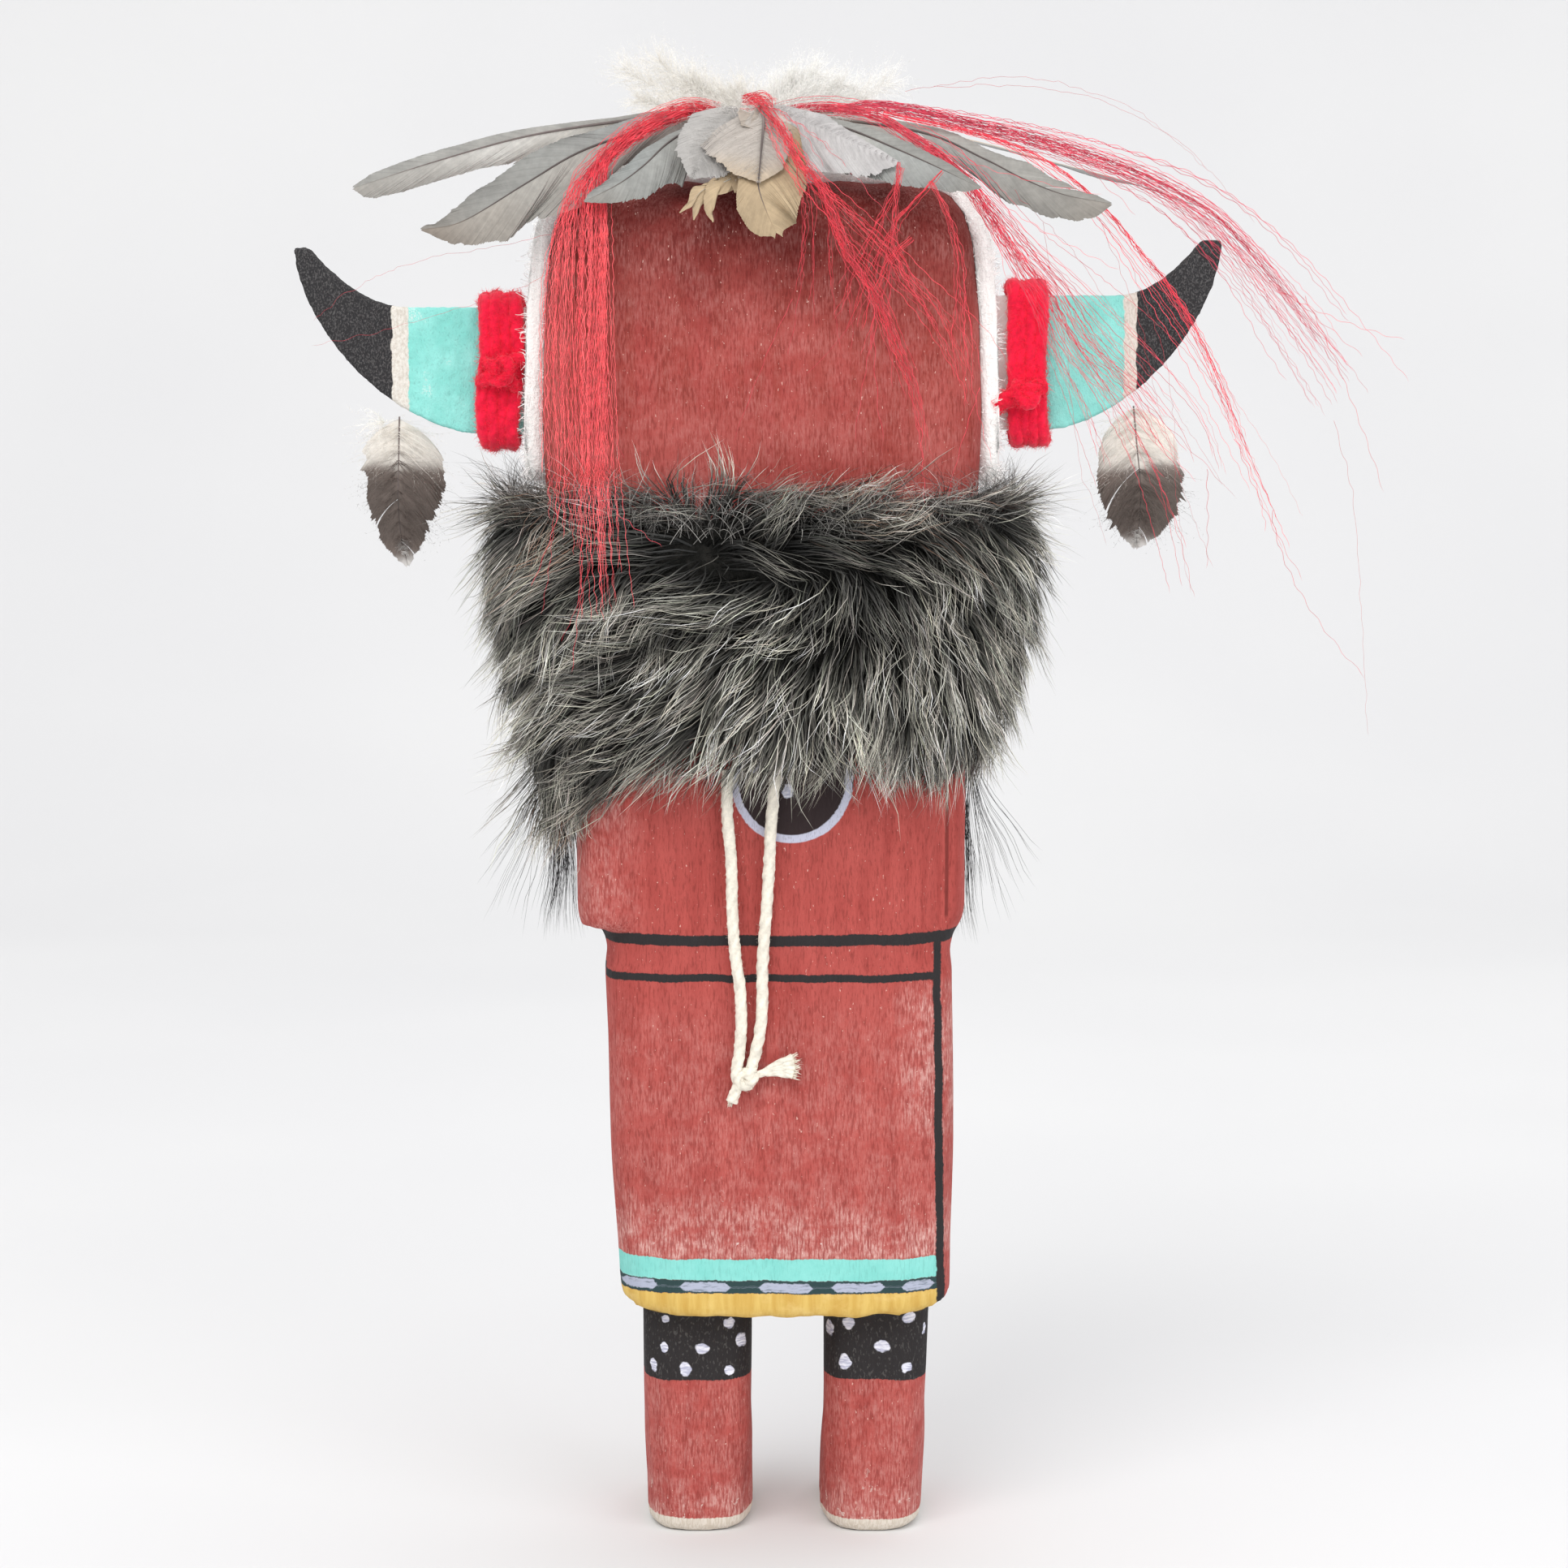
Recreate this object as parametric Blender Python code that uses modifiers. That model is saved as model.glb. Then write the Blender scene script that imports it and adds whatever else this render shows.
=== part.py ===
"""Carved cottonwood doll with horns, a fur ruff, feathers, dyed horsehair and a cotton cord.

Units are metres and +Z is up. The doll's back faces -Y, its face looks along +Y, and it stands
on its own soles. Heights are measured from the soles, and x from the middle between the feet.
"""
import math

import bmesh
import bpy
from mathutils import Vector

# Clearance between pieces that touch
GAP = 0.0003

# Heights of the carved block
HEM_Z = 0.0468
BELT_LOW_Z = 0.1172
BELT_Z = 0.1252
SHOULDER_Z = 0.1760
NECK_Z = 0.1870
JAW_Z = 0.1940
HEAD_TOP_Z = 0.2780

# Half widths, half depths and middles of the carved block
HEM_HALF_W = 0.0346
KILT_HALF_W = 0.0359
TORSO_HALF_W = 0.0356
NECK_HALF_W = 0.0260
HEAD_HALF_W = 0.0448
KILT_HALF_D = 0.0202
NECK_HALF_D = 0.0150
HEAD_HALF_D = 0.0235
TORSO_X = -0.0020
KILT_X = -0.0003
HEM_X = 0.0002
WAIST_X = -0.0011
HEAD_X = -0.0045
HEAD_Y = 0.0015
HEM_CORNER_RISE = 0.0026

# Arms in relief
ARM_HALF_W = 0.0072
ARM_LEFT = {"x": -0.0350, "y": -0.0070, "half_d": 0.0125, "hand_z": 0.1400}
ARM_RIGHT = {"x": 0.0300, "y": -0.0010, "half_d": 0.0120, "hand_z": 0.1500}
ELBOW_Z = 0.1270
HAND_OUT_X = 0.0080

# Legs and moccasins
LEG_LEFT = {"x": -0.0178, "half_w": 0.0113, "lean": -0.0004}
LEG_RIGHT = {"x": 0.0183, "half_w": 0.0108, "lean": 0.0010}
HEEL_Y = -0.0130
SHIN_Y = 0.0112
TOE_Y = 0.0315
INSTEP_Z = 0.0240
SOLE_EDGE = 0.0010

# White fleece over the head
HOOD_THICK = 0.0036
HOOD_BACK_Y = -0.0093
FACE_HALF_W = 0.0270
FACE_TOP_Z = 0.2620
CROWN_HOLE_R = 0.0105
CROWN_HOLE_Y = -0.0040

# Fur ruff
RUFF_TOP_Z = 0.2180
RUFF_BOTTOM_Z = 0.1620
RUFF_HALF_W = 0.0585
RUFF_HALF_D = 0.0410
RUFF_LOBE_LEFT = 0.0140
RUFF_LOBE_RIGHT = 0.0040

# Long dark hair in front, under the ruff
BEARD_THICK = 0.0022
BEARD_HALF_W = 0.0580
BEARD_OUT = 0.0135

# Horns, measured outwards from the side of the head and upwards from their lower edge
HORN_THICK = 0.0065
HORN_EDGE = 0.0005
HORN_LOW_STRAIGHT = 0.0130
HORN_TOP_STRAIGHT = 0.0272
HORN_BOW = 1.19
HORN_LEFT = {"base_z": 0.2275, "root": 0.0257, "reach": 0.0504, "rise": 0.0378, "tip": 0.0027}
HORN_RIGHT = {"base_z": 0.2283, "root": 0.0273, "reach": 0.0488, "rise": 0.0385, "tip": 0.0040}

# Feathers that hang from the horns, at a share of the horn's reach
PENDANT_LENGTH = 0.0290
PENDANT_HALF_W = 0.0098
PENDANT_SHARE = {"left": 0.590, "right": 0.632}

# Yarn wound round each horn's root
YARN_LENGTH = 0.0094
YARN_OVER = 0.0026
YARN_HALF_D = 0.0068
YARN_KNOT_R = 0.0030

# Crown tie, where the feathers and the hair meet
TIE_RISE = 0.0145
TIE_HEIGHT = 0.0035
QUILL_R = 0.0006

# Cotton cord down the back
CORD_R = 0.0012
CORD_Y = -0.0219
CORD_STEP = 0.0048
KNOT_HALF_W = 0.0031
KNOT_HALF_H = 0.0022

SEGMENTS = 32
ROOT_NAME = "doll_root"
MODEL_NAME = "kachina_doll"
CUTTER_NAME = "cutters"

head_left_x = HEAD_X - HEAD_HALF_W
head_right_x = HEAD_X + HEAD_HALF_W
crown = Vector((HEAD_X, 0.0, HEAD_TOP_Z))
tie = crown + Vector((0.0, 0.0, TIE_RISE))


def clear_scene():
    for item in list(bpy.data.objects):
        bpy.data.objects.remove(item, do_unlink=True)


def make_collection(name):
    group = bpy.data.collections.new(name)
    bpy.context.scene.collection.children.link(group)
    return group


def paint(name, colour, roughness):
    """A plain principled material."""
    material = bpy.data.materials.get(name)
    if material is None:
        material = bpy.data.materials.new(name)
        material.use_nodes = True
        shader = material.node_tree.nodes["Principled BSDF"]
        shader.inputs["Base Color"].default_value = (*colour, 1.0)
        shader.inputs["Roughness"].default_value = roughness
        shader.inputs["Metallic"].default_value = 0.0
        material.diffuse_color = (*colour, 1.0)
    return material


def place(name, mesh, group, material=None):
    """Puts a mesh in a collection as an object under the root."""
    item = bpy.data.objects.new(name, mesh)
    group.objects.link(item)
    item.parent = root
    if material is not None:
        mesh.materials.append(material)
    if group is cutters:
        item.hide_render = True
        item.display_type = "WIRE"
    return item


def smooth(mesh, sharp_degrees=50.0):
    mesh.shade_smooth()
    mesh.set_sharp_from_angle(angle=math.radians(sharp_degrees))


def combine(target, other, operation):
    """Adds a Boolean of another object to target."""
    modifier = target.modifiers.new(other.name, "BOOLEAN")
    modifier.operation = operation
    modifier.solver = "EXACT"
    modifier.object = other


def section(z, x, half_w, half_d, y=0.0, power=4.0):
    return {"z": z, "x": x, "y": y, "half_w": half_w, "half_d": half_d, "power": power}


def turned(angle, power):
    """A point of the unit superellipse."""
    across = math.copysign(abs(math.cos(angle)) ** (2 / power), math.cos(angle))
    along = math.copysign(abs(math.sin(angle)) ** (2 / power), math.sin(angle))
    return across, along


def ring(row, grow=0.0, lift=None, count=SEGMENTS):
    """Points round one level superellipse, with an optional height change by angle."""
    points = []
    for step in range(count):
        angle = math.tau * step / count
        across, along = turned(angle, row["power"])
        rise = lift(angle) if lift else 0.0
        x = row["x"] + (row["half_w"] + grow) * across
        y = row["y"] + (row["half_d"] + grow) * along
        points.append(Vector((x, y, row["z"] + rise)))
    return points


def loft(name, rings):
    """A closed mesh through rings of equally many points, fanned shut at both ends."""
    shell = bmesh.new()
    rows = [[shell.verts.new(point) for point in points] for points in rings]
    count = len(rows[0])
    for low, high in zip(rows, rows[1:]):
        for step in range(count):
            after = (step + 1) % count
            shell.faces.new((low[step], low[after], high[after], high[step]))
    for row in (rows[0], rows[-1]):
        middle = shell.verts.new(sum((vert.co for vert in row), Vector()) / count)
        for step in range(count):
            shell.faces.new((row[step], row[(step + 1) % count], middle))
    bmesh.ops.recalc_face_normals(shell, faces=shell.faces)
    mesh = bpy.data.meshes.new(name)
    shell.to_mesh(mesh)
    shell.free()
    smooth(mesh)
    return mesh


def curve_through(points, count):
    """Evenly numbered points on a smooth curve through the given ones."""
    points = [Vector(point) for point in points]
    ends = [2 * points[0] - points[1], *points, 2 * points[-1] - points[-2]]
    spans = len(points) - 1
    found = []
    for step in range(count):
        at = min(step * spans / (count - 1), spans - 1e-9)
        index = int(at)
        t = at - index
        a, b, c, d = ends[index:index + 4]
        bend = (2 * a - 5 * b + 4 * c - d) * t * t + (3 * b - a - 3 * c + d) * t ** 3
        found.append(b + 0.5 * ((c - a) * t + bend))
    return found


def value_at(values, share):
    """Reads a list of widths at a share of its length, smoothly."""
    at = share * (len(values) - 1)
    index = min(int(at), len(values) - 2)
    t = at - index
    t = t * t * (3 - 2 * t)
    return values[index] * (1 - t) + values[index + 1] * t


def sweep(name, spine, wide_a, wide_b, thick, facing, count=14, sides=8, power=2.0):
    """A blade or strand along a spine. Half widths to each side and half thickness run along it.

    Side a is the cross product of the facing direction and the spine's own direction.
    """
    path = curve_through(spine, count)
    rings = []
    for step, point in enumerate(path):
        before = path[max(step - 1, 0)]
        after = path[min(step + 1, count - 1)]
        along = (after - before).normalized()
        side = Vector(facing).cross(along).normalized()
        out = along.cross(side)
        share = step / (count - 1)
        points = []
        for turn in range(sides):
            across, along_out = turned(math.tau * turn / sides, power)
            reach = value_at(wide_a if across > 0 else wide_b, share)
            points.append(point + side * (reach * across) + out * (value_at(thick, share) * along_out))
        rings.append(points)
    return loft(name, rings)


def box(name, low, high):
    """An axis-aligned box between two corners."""
    shell = bmesh.new()
    bmesh.ops.create_cube(shell, size=1.0)
    low = Vector(low)
    high = Vector(high)
    size = high - low
    for vert in shell.verts:
        spot = vert.co + Vector((0.5, 0.5, 0.5))
        vert.co = low + Vector((spot.x * size.x, spot.y * size.y, spot.z * size.z))
    mesh = bpy.data.meshes.new(name)
    shell.to_mesh(mesh)
    shell.free()
    return mesh


def ball(name, middle, radii):
    """A low sphere with its own radius along each axis."""
    shell = bmesh.new()
    bmesh.ops.create_uvsphere(shell, u_segments=10, v_segments=6, radius=1.0)
    for vert in shell.verts:
        vert.co = Vector(middle) + Vector([c * r for c, r in zip(vert.co, radii)])
    mesh = bpy.data.meshes.new(name)
    shell.to_mesh(mesh)
    shell.free()
    smooth(mesh)
    return mesh


# The carved block

def block_rows():
    """Level sections from the kilt's hem to the crown of the head."""
    kilt_mid = (HEM_Z + BELT_LOW_Z) / 2
    head = HEAD_TOP_Z - JAW_Z
    return [
        section(HEM_Z, HEM_X, HEM_HALF_W - 0.0008, KILT_HALF_D - 0.0010),
        section(HEM_Z + 0.0020, HEM_X, HEM_HALF_W, KILT_HALF_D - 0.0002),
        section(kilt_mid, KILT_X, KILT_HALF_W - 0.0004, KILT_HALF_D, power=4.6),
        section(BELT_LOW_Z, WAIST_X, KILT_HALF_W, KILT_HALF_D, power=4.6),
        section((BELT_LOW_Z + BELT_Z) / 2, WAIST_X, KILT_HALF_W - 0.0005, KILT_HALF_D - 0.0004),
        section(BELT_Z, WAIST_X, KILT_HALF_W + 0.0002, KILT_HALF_D),
        section(BELT_Z + 0.0024, TORSO_X, TORSO_HALF_W - 0.0006, KILT_HALF_D - 0.0004),
        section((BELT_Z + SHOULDER_Z) / 2, TORSO_X, TORSO_HALF_W, KILT_HALF_D - 0.0002),
        section(SHOULDER_Z - 0.0080, TORSO_X, TORSO_HALF_W, KILT_HALF_D - 0.0002),
        section(SHOULDER_Z, TORSO_X, TORSO_HALF_W - 0.0040, KILT_HALF_D - 0.0030, power=3.4),
        section(NECK_Z - 0.0040, HEAD_X, NECK_HALF_W, NECK_HALF_D, power=3.0),
        section(NECK_Z, HEAD_X, NECK_HALF_W, NECK_HALF_D, HEAD_Y, 3.0),
        section(JAW_Z, HEAD_X, HEAD_HALF_W - 0.0060, HEAD_HALF_D - 0.0030, HEAD_Y),
        section(JAW_Z + 0.06 * head, HEAD_X, HEAD_HALF_W - 0.0010, HEAD_HALF_D, HEAD_Y, 4.6),
        section(JAW_Z + 0.45 * head, HEAD_X, HEAD_HALF_W, HEAD_HALF_D, HEAD_Y, 4.8),
        section(JAW_Z + 0.70 * head, HEAD_X, HEAD_HALF_W - 0.0006, HEAD_HALF_D, HEAD_Y, 4.8),
        section(JAW_Z + 0.86 * head, HEAD_X, HEAD_HALF_W - 0.0018, HEAD_HALF_D, HEAD_Y, 4.6),
        section(JAW_Z + 0.93 * head, HEAD_X, HEAD_HALF_W - 0.0034, HEAD_HALF_D - 0.0010, HEAD_Y),
        section(JAW_Z + 0.975 * head, HEAD_X, HEAD_HALF_W - 0.0064, HEAD_HALF_D - 0.0034, HEAD_Y),
        section(HEAD_TOP_Z, HEAD_X, HEAD_HALF_W - 0.0120, HEAD_HALF_D - 0.0080, HEAD_Y, 3.4),
    ]


def hem_lift(angle):
    """The hem rises a little at the kilt's sides, where the knife rounded it off."""
    return HEM_CORNER_RISE * abs(math.cos(angle)) ** 3


def block(name, grow=0.0):
    """The block's loft, or a slightly larger copy that cuts room for it."""
    rows = block_rows()
    rings = [ring(rows[0], grow, hem_lift), ring(rows[1], grow, hem_lift)]
    rings += [ring(row, grow) for row in rows[2:-1]]
    rings.append([point + Vector((0.0, 0.0, grow)) for point in ring(rows[-1], grow)])
    return loft(name, rings)


def upper_arm(name, arm, grow=0.0):
    """An arm hanging in relief at the body's side, from inside the ruff to the elbow."""
    levels = (
        (ELBOW_Z, -0.0008),
        (ELBOW_Z + 0.0030, 0.0),
        ((ELBOW_Z + SHOULDER_Z) / 2, 0.0004),
        (SHOULDER_Z - 0.0050, 0.0),
        (SHOULDER_Z, -0.0030),
    )
    rings = []
    for z, trim in levels:
        row = section(z, arm["x"], ARM_HALF_W + trim, arm["half_d"] + trim, arm["y"], 2.8)
        rings.append(ring(row, grow, count=18))
    rings[0] = [point - Vector((0.0, 0.0, grow)) for point in rings[0]]
    rings[-1] = [point + Vector((0.0, 0.0, grow)) for point in rings[-1]]
    return loft(name, rings)


def forearm(name, way, arm):
    """A forearm from the elbow across the belly, ending in a closed hand."""
    elbow = Vector((arm["x"], arm["y"] + 0.0030, ELBOW_Z + 0.0060))
    hand = Vector((TORSO_X + way * HAND_OUT_X, KILT_HALF_D + 0.0018, arm["hand_z"]))
    spine = (
        elbow,
        Vector((arm["x"] - way * 0.0040, KILT_HALF_D * 0.62, ELBOW_Z + 0.0065)),
        elbow.lerp(hand, 0.55) + Vector((0.0, 0.0065, 0.0)),
        hand,
    )
    half = (0.0052, 0.0050, 0.0046, 0.0050, 0.0030)
    return sweep(name, spine, half, half, half, (0.0, 0.0, 1.0), count=9, sides=10)


def leg(name, shape):
    """A straight leg with a rounded moccasin, its flat sole at the ground."""
    levels = (
        (0.0, HEEL_Y + SOLE_EDGE, TOE_Y - SOLE_EDGE, -SOLE_EDGE),
        (0.0012, HEEL_Y, TOE_Y, 0.0),
        (0.0090, HEEL_Y, TOE_Y - 0.0010, 0.0),
        (0.0135, HEEL_Y, TOE_Y - 0.0060, 0.0),
        (0.0180, HEEL_Y, SHIN_Y + 0.0060, 0.0),
        (INSTEP_Z, HEEL_Y + 0.0004, SHIN_Y + 0.0012, -0.0002),
        (HEM_Z + 0.0080, HEEL_Y, SHIN_Y, 0.0002),
    )
    rings = []
    for z, back, front, wider in levels:
        middle = (back + front) / 2
        x = shape["x"] + shape["lean"] * z / HEM_Z
        row = section(z, x, shape["half_w"] + wider, (front - back) / 2, middle, 3.2)
        rings.append(ring(row, count=22))
    return loft(name, rings)


def make_figure(wood):
    figure = place("figure", block("figure"), model, wood)
    joined = (
        upper_arm("arm_left", ARM_LEFT),
        upper_arm("arm_right", ARM_RIGHT),
        forearm("forearm_left", -1, ARM_LEFT),
        forearm("forearm_right", 1, ARM_RIGHT),
        leg("leg_left", LEG_LEFT),
        leg("leg_right", LEG_RIGHT),
    )
    for mesh in joined:
        combine(figure, place(mesh.name, mesh, cutters), "UNION")


def make_clearances():
    """Slightly larger copies of the block and the arms, which cut what is worn on them."""
    return [
        place("block_room", block("block_room", GAP), cutters),
        place("arm_left_room", upper_arm("arm_left_room", ARM_LEFT, GAP), cutters),
        place("arm_right_room", upper_arm("arm_right_room", ARM_RIGHT, GAP), cutters),
    ]


# Horns and their yarn

def horn_edge_rise(horn, angle):
    """How far the horn's lower edge has risen where its bow has turned by an angle."""
    return horn["rise"] * (1 - max(math.cos(angle), 0.0) ** HORN_BOW)


def horn_outline(horn):
    """The horn's edge as (outwards, upwards) points, anticlockwise from its lower root corner."""
    reach, rise = horn["reach"], horn["rise"]
    steps = 10
    points = [(0.0, 0.0)]
    for step in range(steps + 1):
        angle = math.pi / 2 * step / steps
        out = HORN_LOW_STRAIGHT + (reach - HORN_LOW_STRAIGHT) * math.sin(angle) ** HORN_BOW
        points.append((out, horn_edge_rise(horn, angle)))
    top_reach = reach - horn["tip"] - HORN_TOP_STRAIGHT
    for step in range(steps, -1, -1):
        share = step / steps
        out = HORN_TOP_STRAIGHT + top_reach * share
        points.append((out, horn["root"] + (rise - horn["root"]) * share ** 2))
    points.append((0.0, horn["root"]))
    return points


def horn_root(side):
    """Where a horn meets the side of the head, and which way it points."""
    return (head_left_x - GAP, -1) if side == "left" else (head_right_x + GAP, 1)


def make_horn(side, horn, material):
    """A flat cut-out: a filled outline given the board's thickness, with eased edges."""
    start_x, way = horn_root(side)
    data = bpy.data.curves.new("horn_outline_" + side, "CURVE")
    data.dimensions = "2D"
    data.fill_mode = "BOTH"
    data.extrude = HORN_THICK / 2
    outline = horn_outline(horn)
    spline = data.splines.new("POLY")
    spline.points.add(len(outline) - 1)
    for point, (out, up) in zip(spline.points, outline):
        point.co = (way * out, up, 0.0, 1.0)
    spline.use_cyclic_u = True
    guide = bpy.data.objects.new("horn_guide_" + side, data)
    cutters.objects.link(guide)
    mesh = bpy.data.meshes.new_from_object(guide.evaluated_get(bpy.context.evaluated_depsgraph_get()))
    bpy.data.objects.remove(guide, do_unlink=True)
    shell = bmesh.new()
    shell.from_mesh(mesh)
    bmesh.ops.remove_doubles(shell, verts=shell.verts, dist=1e-6)
    bmesh.ops.recalc_face_normals(shell, faces=shell.faces)
    shell.to_mesh(mesh)
    shell.free()
    mesh.materials.clear()
    item = place("horn_" + side, mesh, model, material)
    item.location = (start_x, 0.0, horn["base_z"])
    item.rotation_euler = (math.pi / 2, 0.0, 0.0)
    bevel = item.modifiers.new("eased_edges", "BEVEL")
    bevel.width = HORN_EDGE
    bevel.segments = 1
    bevel.limit_method = "ANGLE"
    bevel.angle_limit = math.radians(60)


def make_root_room(side, horn):
    """A block round the horn's straight root, cut from the fleece and the yarn."""
    start_x, way = horn_root(side)
    ends = sorted((start_x - way * 0.004, start_x + way * (HORN_LOW_STRAIGHT + 0.004)))
    half = HORN_THICK / 2 + GAP
    low = (ends[0], -half, horn["base_z"] - GAP)
    high = (ends[1], half, horn["base_z"] + horn["root"] + GAP)
    name = "root_room_" + side
    return place(name, box(name, low, high), cutters)


def make_yarn(side, horn, room, material):
    """A bulging band of wound yarn with its knot, round the horn's root."""
    start_x, way = horn_root(side)
    inner = start_x + way * HOOD_THICK
    outer = inner + way * YARN_LENGTH
    middle_z = horn["base_z"] + horn["root"] / 2
    high = horn["root"] / 2 + YARN_OVER
    heights = (high - 0.0006, high + 0.0004, high - 0.0002, high + 0.0002, high - 0.0014)
    depths = (0.82 * YARN_HALF_D, YARN_HALF_D, 0.94 * YARN_HALF_D, YARN_HALF_D, 0.80 * YARN_HALF_D)
    spine = ((inner, 0.0, middle_z), ((inner + outer) / 2, 0.0, middle_z), (outer, 0.0, middle_z))
    mesh = sweep("yarn_" + side, spine, heights, heights, depths, (0.0, -1.0, 0.0), 5, 16, 4.0)
    yarn = place("yarn_" + side, mesh, model, material)
    knot_at = (inner + way * 0.4 * YARN_LENGTH, -YARN_HALF_D, middle_z - 0.0010)
    knot = ball("yarn_knot_" + side, knot_at, (YARN_KNOT_R, 0.7 * YARN_KNOT_R, YARN_KNOT_R))
    combine(yarn, place(knot.name, knot, cutters), "UNION")
    combine(yarn, room, "DIFFERENCE")


# Fleece and ruff

def make_head_fur(clearances, rooms, material):
    """Fleece over the top, sides and front of the head, open at the back and round the face."""
    bottom = RUFF_TOP_Z + GAP
    rows = [row for row in block_rows() if row["z"] > bottom + 0.002]
    outer = [dict(rows[0], z=bottom), *rows]
    rings = [ring(row, HOOD_THICK) for row in outer[:-1]]
    lift = Vector((0.0, 0.0, HOOD_THICK))
    rings.append([point + lift for point in ring(outer[-1], HOOD_THICK)])
    fur = place("head_fur", loft("head_fur", rings), model, material)
    far = HEAD_TOP_Z
    back = box("open_back", (-far, -far, 0.0), (far, HOOD_BACK_Y, 2 * far))
    face_low = (HEAD_X - FACE_HALF_W, 0.0, 0.0)
    face_high = (HEAD_X + FACE_HALF_W, far, FACE_TOP_Z)
    face = box("open_face", face_low, face_high)
    shell = bmesh.new()
    bmesh.ops.create_cone(
        shell, cap_ends=True, segments=20, radius1=CROWN_HOLE_R, radius2=CROWN_HOLE_R, depth=0.04
    )
    bmesh.ops.translate(shell, verts=shell.verts, vec=crown + Vector((0.0, CROWN_HOLE_Y, 0.0)))
    hole = bpy.data.meshes.new("crown_hole")
    shell.to_mesh(hole)
    shell.free()
    combine(fur, clearances[0], "DIFFERENCE")
    for mesh in (face, back, hole):
        combine(fur, place(mesh.name, mesh, cutters), "DIFFERENCE")
    for room in rooms:
        combine(fur, room, "DIFFERENCE")


def ruff_drop(angle):
    """How far the ruff's lower edge hangs down: a long lobe behind the left arm, a short one right."""
    left = RUFF_LOBE_LEFT * math.exp(-((angle - math.radians(212)) / 0.42) ** 2)
    right = RUFF_LOBE_RIGHT * math.exp(-((angle - math.radians(325)) / 0.40) ** 2)
    return left + right


def make_ruff(clearances, material):
    """A thick bulging band of fur that fills the hollow of the neck."""
    height = RUFF_TOP_Z - RUFF_BOTTOM_Z
    levels = (
        (0.00, 0.770, 0.70, 1.00),
        (0.05, 0.850, 0.82, 0.85),
        (0.16, 0.920, 0.92, 0.45),
        (0.32, 0.975, 0.98, 0.15),
        (0.54, 1.000, 1.00, 0.0),
        (0.75, 0.995, 0.98, 0.0),
        (0.93, 0.950, 0.88, 0.0),
        (1.00, 0.880, 0.78, 0.0),
    )
    rings = []
    for share, wide, deep, hang in levels:
        z = RUFF_BOTTOM_Z + share * height
        row = section(z, HEAD_X, wide * RUFF_HALF_W, deep * RUFF_HALF_D, 0.001, 2.5)
        rings.append(ring(row, lift=lambda angle, hang=hang: -hang * ruff_drop(angle)))
    ruff = place("neck_ruff", loft("neck_ruff", rings), model, material)
    for room in clearances:
        combine(ruff, room, "DIFFERENCE")


# Feathers, down and hair

def crown_piece(name, root_at, spine, wide_a, wide_b, thick, facing, material, count=13, sides=6):
    """A plume whose quill stands in the crown, passes the tie and then follows its spine."""
    foot = crown + Vector((root_at[0], root_at[1], GAP))
    neck = tie + Vector((root_at[0], root_at[1], -TIE_HEIGHT))
    path = [foot, neck] + [tie + Vector(point) for point in spine]
    widths = [(QUILL_R, QUILL_R, *side) for side in (wide_a, wide_b, thick)]
    place(name, sweep(name, path, *widths, facing, count, sides), model, material)


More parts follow.
